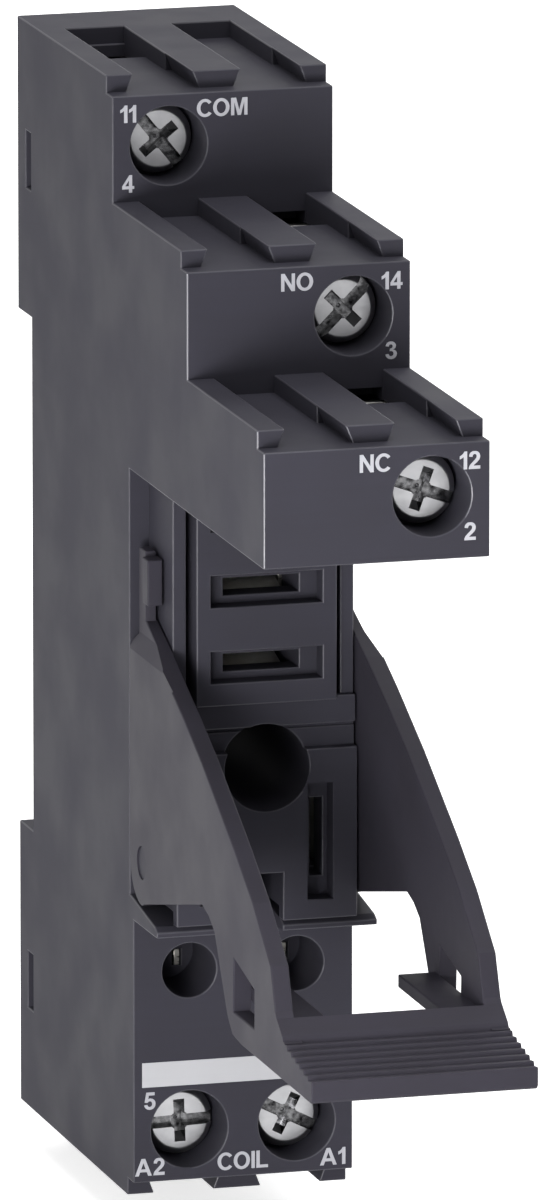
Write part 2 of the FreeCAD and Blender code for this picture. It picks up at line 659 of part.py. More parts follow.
def contact_runs(place, foot, plate_end, neck):
    """The runs of a contact strip: along the cage, across to the middle and up or down behind the clip.

    Behind the neck the bridge is only as wide as the clip, to pass beside a neighbour.
    """
    low = f"({place.across} - strip_width / 2)"
    high = f"({place.across} + strip_width / 2)"
    tail_low = "(-clip_width / 2)"
    tail_high = "(clip_width / 2)"
    left = low if place.side < 0 else tail_low
    right = high if place.side > 0 else tail_high
    front = place.strip_front
    back = f"({front} - strip_sheet)"
    plate_back = f"({CONTACT_WEB} - strip_sheet)"
    bridge = (foot, f"({foot} + strip_sheet)")
    runs = [("riser", (back, front, low, high, foot, place.strip_end))]
    if number(front) < number(CONTACT_WEB):
        runs.append(("bridge", (back, CONTACT_WEB, left, right, *bridge)))
    elif neck is None:
        runs.append(("bridge", (plate_back, front, left, right, *bridge)))
    else:
        runs.append(("bridge", (neck, front, left, right, *bridge)))
        runs.append(("tail", (plate_back, neck, tail_low, tail_high, *bridge)))
    ends = (foot, plate_end) if plate_end_above(foot, plate_end) else (plate_end, bridge[1])
    runs.append(("plate", (plate_back, CONTACT_WEB, tail_low, tail_high, *ends)))
    return runs


def plate_end_above(foot, plate_end):
    """Whether the plate behind the clip rises from the bridge."""
    return number(plate_end) > number(foot)


def coil_runs(place):
    """The runs of a coil strip: up from the cage, forward over the module bore and up behind the clip."""
    low = f"({place.across} - strip_width / 2)"
    high = f"({place.across} + strip_width / 2)"
    front = place.strip_front
    back = f"({front} - strip_sheet)"
    bridge = "(-shelf_under - strip_sheet)"
    blade = f"({place.across} + module_blade_shift)"
    blade_foot = f"({MODULE_LEVEL} - module_blade_drop - module_blade_height / 2)"
    return [
        ("riser", (back, front, low, high, place.strip_end, f"({bridge} + strip_sheet)")),
        ("bridge", (back, COIL_WEB, low, high, bridge, f"({bridge} + strip_sheet)")),
        ("plate", (f"({COIL_WEB} - strip_sheet)", COIL_WEB, low, high, bridge,
                   "(-coil_slot_level + coil_clip_width / 2)")),
        ("blade", (front, "(lower_reach - module_depth)", f"({blade} - clip_sheet / 2)",
                   f"({blade} + clip_sheet / 2)", blade_foot, f"({blade_foot} + module_blade_height)")),
    ]


def make_clip(place, row):
    """A folded spring clip whose two leaves pinch a relay blade."""
    piece = Piece(f"clip_{place.name}")
    web = COIL_WEB if row is None else CONTACT_WEB
    tip = f"({web} + clip_length)"
    pinch = f"({web} + clip_length * 0.8)"
    knee = f"({web} + clip_length * 0.2)"
    half = "clip_half"
    upper = [(web, f"-{half}"), (knee, f"-{half}"), (pinch, "-clip_pinch - clip_sheet"),
             (tip, f"-{half} + clip_flare"), (tip, f"-{half} + clip_sheet + clip_flare"), (pinch, "-clip_pinch"),
             (knee, f"-{half} + clip_sheet"), (f"{web} + clip_sheet", f"-{half} + clip_sheet")]
    lower = [(reach, f"-({rise})") for reach, rise in reversed(upper)]
    if row is None:
        centre = f"({place.side} * {COIL_AXIS})"
        corners = [(f"{centre} + {rise}", f"-({reach})") for reach, rise in upper + lower]
        piece.add("flat", "-coil_slot_level - coil_clip_width / 2", "-coil_slot_level + coil_clip_width / 2",
                  corners, purpose="fold")
    else:
        corners = [at(reach, f"{slot_level(row)} + {rise}") for reach, rise in upper + lower]
        piece.add("side", "-clip_width / 2", "clip_width / 2", corners, purpose="fold")
    return piece


# Screws and cages


def make_screw(place):
    """A captive terminal screw: turned to shape, with a cross and a slot in its head."""
    piece = Piece(f"screw_{place.name}")
    length = "(strip_sink - tip_gap - head_sink - head_height)"
    profile = [("0", "0"), ("head_diameter / 2 - head_chamfer", "0"), ("head_diameter / 2", "-head_chamfer"),
               ("head_diameter / 2", "-head_height"), ("screw_diameter / 2", "-head_height"),
               ("screw_diameter / 2", f"-head_height - {length} + tip_chamfer"),
               ("screw_diameter / 2 - tip_chamfer", f"-head_height - {length}"), ("0", f"-head_height - {length}")]
    sketch = piece.draw("side", "0", [profile], "shank")
    turned = piece.body.newObject("PartDesign::Revolution", f"{piece.label}_turned")
    turned.Profile = sketch
    turned.ReferenceAxis = (sketch, ["V_Axis"])
    turned.Angle = 360
    arm = "(head_diameter * cross_share)"
    half = "drive_width / 2"
    piece.cut("flat", "-cross_depth", "0", box(f"-{half}", half, f"-{arm}", arm), purpose="cross")
    slot = box("-head_diameter", "head_diameter", f"-{half}", half)
    piece.cut("flat", "-drive_depth", "0", slot, purpose="slot")
    body = piece.body
    body.Placement = FreeCAD.Placement(
        FreeCAD.Vector(0, 0, 0),
        FreeCAD.Rotation(FreeCAD.Vector(0, 1, 0), -place.turn) * FreeCAD.Rotation(FreeCAD.Vector(1, 0, 0), 90))
    body.setExpression("Placement.Base.x", tied(place.across))
    body.setExpression("Placement.Base.y", tied(f"-({place.reach} - head_sink)"))
    body.setExpression("Placement.Base.z", tied(place.level))
    return piece


def make_cage(place):
    """A cage folded from sheet, with a threaded front wall; it rises on its screw and lifts the wire."""
    piece = Piece(f"cage_{place.name}")
    rear = f"({place.strip_front} - strip_sheet - wire_length)"
    back = f"({rear} - cage_floor)"
    nut_front = f"({place.reach} - {POCKET_SINK} - cage_travel)"
    outer = box(f"{place.across} - cage_width / 2", f"{place.across} + cage_width / 2",
                f"-{nut_front}", f"-{back}")
    inside = "(cage_width / 2 - cage_sheet)"
    inner = box(f"{place.across} - {inside}", f"{place.across} + {inside}",
                f"-({nut_front} - cage_nut)", f"-{rear}")
    piece.add("flat", f"{place.level} - cage_height / 2", f"{place.level} + cage_height / 2", outer, inner,
              purpose="folded_wall")
    piece.cut("front", f"{nut_front} - cage_nut - thread_play", nut_front,
              ("circle", place.across, place.level, "screw_diameter / 2 + thread_play"), purpose="thread")
    return piece


# Rear cover, latch and spring


def make_cover():
    """The rear cover: rail seat, fixed hook, guide for the latch and four snap tabs."""
    piece = Piece("rear_cover")
    outline = [at("cover_sheet", COVER_TOP), at("-block_depth", COVER_TOP), at("-block_depth", GAP), at("0", GAP),
               at("0", f"-{GAP}"), at("-block_depth", f"-{GAP}"), at("-block_depth", COVER_FOOT),
               at("cover_sheet", COVER_FOOT)]
    piece.add("side", f"-{COVER_HALF}", COVER_HALF, outline, purpose="shell")
    hook = [at(f"-{GUIDE_BACK}", GAP), at(f"-{GUIDE_BACK} - hook_depth", GAP),
            at(f"-{GUIDE_BACK} - hook_depth", "rail_height / 2 - hook_overlap + hook_lead"),
            at(f"-{GUIDE_BACK} - hook_flat", "rail_height / 2 - hook_overlap"),
            at(f"-{GUIDE_BACK}", "rail_height / 2 - hook_overlap")]
    piece.add("side", "-hook_width / 2", "hook_width / 2", hook, purpose="fixed_hook")
    room = f"({COVER_HALF} - cover_wall)"
    piece.cut("front", "-block_depth + cover_wall", "cover_sheet",
              box(f"-{room}", room, f"{GAP} + cover_wall", f"{COVER_TOP} - cover_wall"), purpose="upper_hollow")
    piece.cut("front", "0", "cover_sheet",
              box(f"-{room}", room, f"{COVER_FOOT} + cover_wall", f"-{GAP} - cover_wall"), purpose="lower_hollow")
    wide = "(latch_flange / 2 + latch_play)"
    narrow = "(latch_width / 2 + latch_play)"
    lip = f"(-{GUIDE_BACK} - latch_flange_depth - latch_play)"
    piece.cut("front", lip, f"-{GUIDE_BACK} + latch_play", box(f"-{wide}", wide, COVER_FOOT, f"-{GAP}"),
              purpose="guide")
    piece.cut("front", "-block_depth", lip, box(f"-{narrow}", narrow, COVER_FOOT, f"-{GAP}"),
              purpose="guide_mouth")
    stop_top = f"({stop_foot()} + stop_height)"
    piece.add("front", f"-{GUIDE_BACK} - hook_depth + stop_inset", f"-{GUIDE_BACK} + latch_play",
              box("-spring_diameter / 2", "spring_diameter / 2", stop_foot(), stop_top), purpose="spring_stop")
    tabs = [box(f"-{HALF} + snap_inset", f"-{COVER_HALF}", f"{level} - snap_height / 2 + snap_play",
                f"{level} + snap_height / 2 - snap_play") for level in ("snap_level", "-snap_level")]
    piece.add("front", "-snap_start - snap_depth + snap_play", "-snap_start - snap_play", *mirrored(tabs),
              purpose="snap_tabs")
    hole = ("circle", "0", "-fixing_level", "fixing_hole / 2")
    piece.cut("front", "0", "cover_sheet", hole, purpose="fixing_hole")
    return piece


def stop_foot():
    """Underside of the fixed stop that the latch and its spring lean on."""
    return f"(-{GAP} - stop_drop - spring_window - stop_height)"


def make_latch():
    """The sliding latch: a flanged plate with the hook above and the pull tab below."""
    piece = Piece("rail_latch")
    hook_tip = "(-rail_height / 2 + hook_overlap)"
    pull = f"({FOOT} - latch_pull)"
    front = f"-{GUIDE_BACK}"
    piece.add("front", f"{front} - hook_depth", front, box("-latch_width / 2", "latch_width / 2", pull, hook_tip),
              purpose="plate")
    piece.add("front", f"{front} - latch_flange_depth", front,
              box("-latch_flange / 2", "latch_flange / 2", COVER_FOOT, f"-{GAP} - flange_drop"), purpose="flanges")
    window = box("-spring_diameter / 2 - spring_side_play", "spring_diameter / 2 + spring_side_play", stop_foot(),
                 f"{stop_foot()} + stop_height + spring_window")
    piece.cut("front", f"{front} - hook_depth", front, window, purpose="spring_window")
    slot_foot = f"({pull} + driver_slot_edge)"
    slot = box("-driver_slot / 2", "driver_slot / 2", slot_foot, f"{slot_foot} + driver_slot_height")
    piece.cut("front", f"{front} - hook_depth", front, slot, purpose="driver_slot")
    return piece


def wire_ring(step):
    """The wire's outline at one step along the latch spring."""
    half = number("spring_wire / 2")
    angle = 2 * math.pi * step / number("spring_steps")
    rise = number("(spring_window - spring_wire) / (spring_steps * spring_turns)") * step
    outward = FreeCAD.Vector(math.cos(angle), math.sin(angle), 0)
    centre = outward * number("spring_diameter / 2 - spring_wire / 2") + FreeCAD.Vector(0, 0, rise)
    sides = int(number("spring_sides"))
    corners = []
    for side in range(sides + 1):
        turn = 2 * math.pi * side / sides
        corners.append(centre + outward * half * math.cos(turn) + FreeCAD.Vector(0, 0, half * math.sin(turn)))
    return Part.makePolygon(corners)


def make_spring():
    """The latch spring between the fixed stop and the latch, its wire bent in short straight lengths."""
    steps = int(number("spring_steps * spring_turns"))
    spring = DOC.addObject("Part::Feature", "latch_spring")
    spring.Label = "latch_spring"
    spring.Shape = Part.makeLoft([wire_ring(step) for step in range(steps + 1)], True, True)
    foot = number(f"{stop_foot()} + stop_height + spring_wire / 2")
    depth = number(f"{GUIDE_BACK} + spring_diameter / 2 + spring_clearance")
    spring.Placement = FreeCAD.Placement(FreeCAD.Vector(0, depth, foot), FreeCAD.Rotation())
    return spring


# Retaining lever


def on_lever(along, up):
    """A corner of the lever: its shares of the way from the pivot to the tab's front edge, and of the height."""
    return at(f"{PIVOT} + {along} * (lever_reach - {PIVOT})", f"-tab_under + {up} * (finger_top + tab_under)")


def arm_outline():
    """Side view of an arm: down the step behind it, round the pivot, along the lower edge and back on top."""
    back = "(bay_reach + arm_gap)"
    heel = "(pivot_setout - arm_gap)"
    root = "tab_back + tab_root"
    return [
        at(back, "arm_back_top"), (f"-{back}", "-pivot_level", f"-{heel}"),
        at(PIVOT, f"-pivot_level - {heel}"),
        on_lever(0.019, 0.144), on_lever(0.362, 0.26), on_lever(0.4, 0.246),
        on_lever(0.435, 0.219), on_lever(0.513, 0.039), on_lever(0.541, 0.007),
        on_lever(0.591, 0.0),
        at(root, "-tab_under"), at(root, "-tab_top - groove_fall"),
        on_lever(0.82, 0.096), on_lever(0.79, 0.149), on_lever(0.764, 0.248),
        on_lever(0.66, 0.365), on_lever(0.553, 0.457), on_lever(0.447, 0.54),
        on_lever(0.362, 0.604), on_lever(0.26, 0.673), on_lever(0.184, 0.719),
        on_lever(0.125, 0.755), on_lever(0.059, 0.791), on_lever(-0.012, 0.83),
        on_lever(-0.028, 0.798), on_lever(-0.045, 0.791),
    ]


def tab_outline():
    """Side view of the finger tab with its stepped grip."""
    corners = [at("tab_back", "-tab_under"), on_lever(0.799, 0.135), on_lever(0.832, 0.103)]
    start = "(lever_reach - groove_count * groove_pitch)"
    count = int(number("groove_count"))
    for step in range(count):
        reach = f"({start} + {step} * groove_pitch)"
        level = f"(-tab_top - {step} * groove_fall)"
        corners += [at(reach, level), at(f"{reach} + groove_slope", f"{level} - groove_depth")]
    corners += [at("lever_reach", "-tab_nose"), at("lever_reach", "-tab_under + tab_chamfer"),
                at("lever_reach - tab_chamfer", "-tab_under")]
    return corners


def make_lever():
    """The retaining and ejecting lever: two arms with their fingers and shelves, and the finger tab."""
    piece = Piece("lever")
    inner = f"({HALF} - arm_sheet)"
    narrow = f"({HALF} - arm_shoulder)"
    piece.add("side", inner, HALF, arm_outline(), purpose="right_arm")
    piece.add("side", f"-{HALF}", HALF, tab_outline(), purpose="tab")
    piece.add("side", f"-{HALF}", f"-{inner}", arm_outline(), purpose="left_arm")
    shoulder = [(HALF, "shoulder_foot"), (f"{HALF} + arm_shoulder", "shoulder_foot"),
                (f"{HALF} + arm_shoulder", "finger_top"), (narrow, "finger_top"), (narrow, "shoulder_top")]
    piece.cut("front", "bay_reach", "bay_wall_reach + 2 * arm_sheet", *mirrored([shoulder]), purpose="shoulders")
    finger_back = "(bay_reach + finger_gap)"
    finger_front = f"({finger_back} + finger_depth)"
    stem = [at(finger_back, "finger_root"), at(finger_front, "finger_root"), at(finger_front, "finger_top"),
            at(finger_back, "finger_top")]
    nub_front = f"({finger_front} + nub_depth)"
    nub = [at(finger_front, "nub_foot"), at(nub_front, "nub_foot"), at(nub_front, "nub_top"),
           at(finger_front, "nub_top")]
    shelf = [on_lever(0.522, 0.088), on_lever(0.811, 0.088), on_lever(0.811, 0.12), on_lever(0.522, 0.12)]
    piece.add("side", f"{narrow} - finger_sheet", narrow, stem, purpose="right_finger")
    piece.add("side", f"-{narrow}", f"-{narrow} + finger_sheet", stem, purpose="left_finger")
    piece.add("side", f"-{HALF} + nub_inset", f"-{HALF} + nub_inset + nub_width", nub, purpose="left_nub")
    right_shelf = ("right", f"{inner} - lug_width", inner)
    left_shelf = ("left", f"-{inner}", f"-{inner} + lug_width")
    for name, low, high in (right_shelf, left_shelf):
        piece.add("side", low, high, shelf, purpose=f"{name}_shelf")
    window = [on_lever(0.55, 0.195), on_lever(0.669, 0.159),
              on_lever(0.669, 0.065), on_lever(0.546, 0.064)]
    bore = ("circle", f"-{PIVOT}", "-pivot_level", "pivot_pin + pivot_play")
    for name, low, high in (("right", inner, HALF), ("left", f"-{HALF}", f"-{inner}")):
        piece.cut("side", low, high, window, bore, purpose=f"{name}_window")
    return piece


def check_and_write(features):
    """Refuse any failed feature or bad solid, then write one file for each piece."""
    DOC.recompute()
    for item in DOC.Objects:
        if "Invalid" in item.State or "Error" in item.State:
            raise RuntimeError(f"{item.Label} failed: {item.State}")
    for feature in features:
        shape = feature.Shape
        if shape.isNull() or not shape.isValid():
            raise RuntimeError(f"{feature.Label} has no valid shape")
    os.makedirs("parts", exist_ok=True)
    for feature in features:
        feature.Shape.exportStep(f"parts/{feature.Label}.step")
        print(feature.Label, round(feature.Shape.Volume, 2), len(feature.Shape.Solids))


fill_sheet()
STRIPS = [
    Strip(COM, contact_runs(COM, f"({slot_level(2)} - plate_below)", f"({slot_level(2)} + plate_above)", None)),
    Strip(NO, contact_runs(NO, f"({slot_level(1)} - plate_below)", f"({slot_level(1)} + plate_above)", None)),
    Strip(NC, contact_runs(NC, f"({NC.level} - cage_height / 2 - cage_play - strip_sheet)",
                           f"({slot_level(0)} - plate_above)", f"({NO.strip_front} + neck_length)")),
    Strip(A2, coil_runs(A2)),
    Strip(A1, coil_runs(A1)),
]
HOUSING = make_housing()
PIECES = [make_cover(), make_latch(), make_lever()]
PIECES += [strip.make() for strip in STRIPS]
PIECES += [make_clip(place, row) for place, row in ((NC, 0), (NO, 1), (COM, 2), (A2, None), (A1, None))]
PIECES += [make_cage(place) for place in TERMINALS]
PIECES += [make_screw(place) for place in TERMINALS]
check_and_write([HOUSING] + [piece.body for piece in PIECES] + [make_spring()])
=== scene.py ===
"""Relay socket for a mounting rail: finishes, lettering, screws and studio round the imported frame.

Lengths are in millimetres and MM turns them into metres, except for the lamps and the floor.
A reach is a distance in front of the rail seat, along -Y. A level is a height above the middle of
the rail, along +Z.
"""

import logging
import math
from dataclasses import dataclass, field
from enum import Enum
from typing import ClassVar

import bmesh
import bpy
from mathutils import Matrix, Vector
from mathutils.geometry import intersect_point_line


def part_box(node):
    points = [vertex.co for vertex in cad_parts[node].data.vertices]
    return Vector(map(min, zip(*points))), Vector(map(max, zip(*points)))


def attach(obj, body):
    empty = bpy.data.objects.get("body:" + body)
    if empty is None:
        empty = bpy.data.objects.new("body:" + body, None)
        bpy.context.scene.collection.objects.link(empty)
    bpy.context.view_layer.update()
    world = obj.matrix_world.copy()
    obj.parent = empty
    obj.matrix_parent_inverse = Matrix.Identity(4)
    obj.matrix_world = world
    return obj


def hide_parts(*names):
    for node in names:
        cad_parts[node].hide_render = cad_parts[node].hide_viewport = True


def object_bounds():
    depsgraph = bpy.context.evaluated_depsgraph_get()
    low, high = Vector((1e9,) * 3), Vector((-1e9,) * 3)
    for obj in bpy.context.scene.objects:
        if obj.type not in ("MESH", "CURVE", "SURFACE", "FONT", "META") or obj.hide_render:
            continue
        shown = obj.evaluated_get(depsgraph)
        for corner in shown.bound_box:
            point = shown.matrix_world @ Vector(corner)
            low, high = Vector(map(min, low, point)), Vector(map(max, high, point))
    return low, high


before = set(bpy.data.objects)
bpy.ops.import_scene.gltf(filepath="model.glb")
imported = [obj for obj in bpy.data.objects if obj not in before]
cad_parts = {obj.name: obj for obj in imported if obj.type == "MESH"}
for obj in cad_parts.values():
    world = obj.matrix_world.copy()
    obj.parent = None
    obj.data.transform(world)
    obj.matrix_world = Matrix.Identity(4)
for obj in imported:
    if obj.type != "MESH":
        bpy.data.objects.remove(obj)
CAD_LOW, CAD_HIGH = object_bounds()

LOG = logging.getLogger("relay_socket")
MM = 0.001
TERMINALS = ("com", "no", "nc", "a2", "a1")

# Driving sizes of the moulding
FIRST_REACH = 21.28
ROW_STEP = 18.94
LOWER_REACH = 26.3
FIRST_FLOOR = 37.43
ROW_PITCH = 8.48

# What counts as one corner, one flat face and no length at all
SAME_CORNER = 0.002
SAME_INK_CORNER = 0.001
FLAT_ANGLE = 1.0
SHORTEST_EDGE = 0.001

# Material numbers of the faces of a moulding's rounded edges, after 0 for the rest: the first
# carries a lighter tone painted as an edge highlight, the second a brighter painted highlight on
# front corners
EDGE_HIGHLIGHT_FACE = 1
CORNER_HIGHLIGHT_FACE = 2

Tone = tuple[float, float, float]
Outline = list[tuple[float, float]]


class FinishName(Enum):
    """The finishes that the pieces wear, by the names of their materials."""

    HOUSING = "housing_grey"
    COVER = "cover_grey"
    LATCH = "latch_grey"
    LEVER = "lever_grey"
    # Painted highlights: a lighter tone on rounded edges, a brighter one on front corners facing the
    # left lamp
    PAINTED_EDGE_HIGHLIGHT = "painted_edge_highlight"
    PAINTED_CORNER_HIGHLIGHT = "painted_corner_highlight"
    SCREW = "zinc_steel"
    # Painted shade inside the screws' recesses, mottled with painted glints
    PAINTED_RECESS_SHADE = "painted_recess_shade_and_glints"
    CAGE = "cage_zinc"
    SPRING = "spring_wire"
    STRIP = "tinned_brass"
    CLIP = "tinned_bronze"
    INK = "print_ink"
    FIELD = "marking_field"


class RecessForm(Enum):
    """The three forms that are cut into a screw's head, one over the other."""

    SLOT = "slot"
    CROSS = "cross"
    POINT = "point"


def row_reach(row: int) -> float:
    """Front face of one upper row, counted from the top."""
    return FIRST_REACH + row * ROW_STEP


def row_floor(row: int) -> float:
    """Level of the channels' floor on one upper row."""
    return FIRST_FLOOR - row * ROW_PITCH


# Meshes


def joined_mesh(shape: bmesh.types.BMesh, name: str) -> bpy.types.Object:
    """Turn a finished bmesh into a linked object at the origin.

    Args:
        shape: the bmesh, which is freed here.
        name: name of the object and its mesh.

    Returns:
        The new object.
    """
    bmesh.ops.recalc_face_normals(shape, faces=shape.faces)
    mesh = bpy.data.meshes.new(name)
    shape.to_mesh(mesh)
    shape.free()
    made = bpy.data.objects.new(name, mesh)
    bpy.context.scene.collection.objects.link(made)
    return made


def block(low: Vector, high: Vector) -> bmesh.types.BMesh:
    """An upright block between two corners given in millimetres."""
    shape = bmesh.new()
    bmesh.ops.create_cube(shape, size=1.0)
    bmesh.ops.scale(shape, vec=(high - low) * MM, verts=shape.verts)
    bmesh.ops.translate(shape, vec=(low + high) / 2 * MM, verts=shape.verts)
    return shape


def merged_copy(node: str) -> bmesh.types.BMesh:
    """Copy a node's loose triangles and merge them into one closed shape with flat faces.

    Args:
        node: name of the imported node.

    Returns:
        The merged bmesh.
    """
    shape = bmesh.new()
    shape.from_mesh(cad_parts[node].data)
    bmesh.ops.remove_doubles(shape, verts=shape.verts, dist=SAME_CORNER * MM)
    bmesh.ops.dissolve_limit(shape, angle_limit=math.radians(FLAT_ANGLE), verts=shape.verts,
                             edges=shape.edges)
    return shape


def shade_by_angle(made: bpy.types.Object, degrees: float = 20.0, span: float = 1.2) -> None:
    """Smooth the short steps of curved faces and keep every flat facet crisp.

    Args:
        made: the mesh object.
        degrees: creases above this angle stay sharp.
        span: faces wider than this across an edge count as flat facets.
    """
    limit = math.radians(degrees)
    shape = bmesh.new()
    shape.from_mesh(made.data)
    for face in shape.faces:
        face.smooth = True
    for edge in shape.edges:
        length = max(edge.calc_length(), SHORTEST_EDGE * MM)
        curved = all(face.calc_area() / length < span * MM for face in edge.link_faces)
        shallow = edge.calc_face_angle(0.0) <= limit
        edge.smooth = len(edge.link_faces) == 2 and curved and shallow
    shape.to_mesh(made.data)
    shape.free()


def carve(made: bpy.types.Object, cutters: list[bpy.types.Object]) -> None:
    """Cut closed shapes out of an object's mesh. The cutters are spent, and go with their meshes.

    Args:
        made: the object that is cut.
        cutters: closed shapes in the same space.
    """
    for cutter in cutters:
        modifier = made.modifiers.new(cutter.name, "BOOLEAN")
        modifier.operation = "DIFFERENCE"
        modifier.solver = "EXACT"
        modifier.object = cutter
    bpy.context.view_layer.update()
    evaluated = made.evaluated_get(bpy.context.evaluated_depsgraph_get())
    carved = bpy.data.meshes.new_from_object(evaluated)
    made.modifiers.clear()
    whole, made.data = made.data, carved
    bpy.data.meshes.remove(whole)
    for spent in cutters:
        bpy.data.meshes.remove(spent.data)


def distance_to(point: Vector, edge: bmesh.types.BMEdge) -> float:
    """Shortest distance from a point to an edge."""
    first, last = edge.verts[0].co, edge.verts[1].co
    foot, share = intersect_point_line(point, first, last)
    if share <= 0.0:
        foot = first
    elif share >= 1.0:
        foot = last
    return (point - foot).length


@dataclass(frozen=True)
class EdgeRounding:
    """How a moulded or stamped piece's outer edges are rounded.

    An edge is sharp above the crease, in degrees. It needs room times the width beside it. It is
    carried on by another where the cosine between them is above straight. Rounded faces get the
    number in the field below as their material number; on the mouldings it picks a tone painted as a
    highlight.
    """

    width: float
    segments: int = 2
    crease: float = 35.0
    straight: float = 0.85
    room: float = 2.2
    highlight_number: int = 0

    def apply(self, shape: bmesh.types.BMesh) -> int:
        """Round every sharp outer edge that has room beside it.

        Args:
            shape: a merged, closed bmesh.

        Returns:
            How many edges were rounded.
        """
        sharp = {edge for edge in shape.edges if self.is_sharp(edge)}
        chosen = [edge for edge in shape.edges if edge in sharp and self.has_room(edge, sharp)]
        rounded = bmesh.ops.bevel(shape, geom=chosen, offset=self.width * MM,
                                  offset_type="OFFSET", segments=self.segments, profile=0.5,
                                  affect="EDGES", clamp_overlap=False, material=-1)
        # The rounded faces take the material number of the painted edge highlight
        for face in rounded["faces"]:
            face.material_index = self.highlight_number
        return len(chosen)

    def is_sharp(self, edge: bmesh.types.BMEdge) -> bool:
        """Whether an edge is a sharp outer one."""
        outer = len(edge.link_faces) == 2 and edge.is_convex
        return outer and edge.calc_face_angle(0.0) > math.radians(self.crease)

    def has_room(self, edge: bmesh.types.BMEdge, sharp: set[bmesh.types.BMEdge]) -> bool:
        """Whether the edges that meet this one leave room for the rounding.

        Args:
            edge: a sharp edge.
            sharp: all sharp edges of the shape.

        Returns:
            True where no short edge and no near edge of the same face stands in the way.
        """
        least = self.room * self.width * MM
        for corner in edge.verts:
            along = (edge.other_vert(corner).co - corner.co).normalized()
            carried_on = False
            for other in corner.link_edges:
                if other is edge:
                    continue
                onward = (other.other_vert(corner).co - corner.co).normalized()
                if other in sharp and abs(along.dot(onward)) > self.straight:
                    carried_on = True
                elif other.calc_length() < least:
                    return False
            if not carried_on and edge.calc_length() < least:
                return False
        return not any(self.crowded(edge, face, least) for face in edge.link_faces)

    @staticmethod
    def crowded(edge: bmesh.types.BMEdge, face: bmesh.types.BMFace, least: float) -> bool:
        """Whether another edge of the same face runs closer than the least distance."""
        ends = set(edge.verts)
        for other in face.edges:
            if ends.intersection(other.verts):
                continue
            gaps = [distance_to(corner.co, other) for corner in edge.verts]
            gaps += [distance_to(corner.co, edge) for corner in other.verts]
            if min(gaps) < least:
                return True
        return False


# Shader groups that several finishes share


class GroupMaker:
    """Builds one shader node group with number sockets."""

    def __init__(self, name: str) -> None:
        """Start an empty group."""
        self.tree = bpy.data.node_groups.new(name, "ShaderNodeTree")
        self.given = self.tree.nodes.new("NodeGroupInput")
        self.result = self.tree.nodes.new("NodeGroupOutput")

    def takes(self, name: str, value: float) -> None:
        """Add an input with its usual value."""
        socket = self.tree.interface.new_socket(name=name, in_out="INPUT",
                                                socket_type="NodeSocketFloat")
        socket.default_value = value

    def gives(self, *names: str) -> None:
        """Add outputs."""
        for name in names:
            self.tree.interface.new_socket(name=name, in_out="OUTPUT",
                                           socket_type="NodeSocketFloat")

    def node(self, kind: str, **settings: object) -> bpy.types.Node:
        """Add a node with its properties set."""
        return new_node(self.tree, kind, **settings)

    def link(self, source: bpy.types.NodeSocket, target: bpy.types.NodeSocket) -> None:
        """Join two sockets."""
        self.tree.links.new(source, target)


def new_node(tree: bpy.types.NodeTree, kind: str, **settings: object) -> bpy.types.Node:
    """Add a node to a tree and set its properties.

    Args:
        tree: the material's or group's tree.
        kind: the node's type name.
        settings: properties by name.

    Returns:
        The new node.
    """
    made = tree.nodes.new(kind)
    for name, value in settings.items():
        setattr(made, name, value)
    return made


@dataclass(frozen=True)
class Noise:
    """Noise on object coordinates, stretched along the axes."""

    detail: float
    scale: float = 1.0
    stretch: tuple[float, float, float] = (1.0, 1.0, 1.0)

    def add(self, maker: GroupMaker,
            scale: bpy.types.NodeSocket | None = None) -> bpy.types.NodeSocket:
        """Add the noise to a group.

        Args:
            maker: the group that it goes in.
            scale: the socket that gives its scale, in place of its own.

        Returns:
            The noise value.
        """
        where = maker.node("ShaderNodeTexCoord")
        mapping = maker.node("ShaderNodeMapping")
        mapping.inputs["Scale"].default_value = self.stretch
        noise = maker.node("ShaderNodeTexNoise")
        noise.inputs["Detail"].default_value = self.detail
        maker.link(where.outputs["Object"], mapping.inputs["Vector"])
        maker.link(mapping.outputs["Vector"], noise.inputs["Vector"])
        if scale is None:
            noise.inputs["Scale"].default_value = self.scale
        else:
            maker.link(scale, noise.inputs["Scale"])
        return noise.outputs["Fac"]


@dataclass(frozen=True)
class Spread:
    """Spreads the values between two levels over 0 to 1, clamped."""

    low: float
    high: float

    def add(self, maker: GroupMaker, source: bpy.types.NodeSocket,
            target: bpy.types.NodeSocket) -> None:
        """Add the node between two sockets of a group."""
        spread = maker.node("ShaderNodeMapRange", clamp=True)
        spread.inputs["From Min"].default_value = self.low
        spread.inputs["From Max"].default_value = self.high
        maker.link(source, spread.inputs["Value"])
        maker.link(spread.outputs["Result"], target)


@dataclass(frozen=True)
class MouldedGrain:
    """The eroded texture of a moulded face, with faint clouds and flow marks along the height."""

    grain: Noise = Noise(detail=2.0, scale=9000.0)
    cloud: Noise = Noise(detail=3.0, scale=170.0)
    flow: Noise = Noise(detail=2.0, stretch=(60.0, 60.0, 2600.0))
    flow_share: float = 0.35
    tone: Spread = Spread(0.5, 0.85)
    matt: Spread = Spread(0.35, 0.65)

    def build(self) -> bpy.types.ShaderNodeTree:
        """Make the group, which gives height, tone and roughness."""
        maker = GroupMaker("moulded_grain")
        maker.gives("Height", "Tone", "Matt")
        fine = self.grain.add(maker)
        cloud = self.cloud.add(maker)
        both = maker.node("ShaderNodeMath", operation="MULTIPLY_ADD")
        both.inputs[1].default_value = self.flow_share
        maker.link(self.flow.add(maker), both.inputs[0])
        maker.link(cloud, both.inputs[2])
        maker.link(fine, maker.result.inputs["Height"])
        self.tone.add(maker, both.outputs["Value"], maker.result.inputs["Tone"])
        self.matt.add(maker, cloud, maker.result.inputs["Matt"])
        return maker.tree


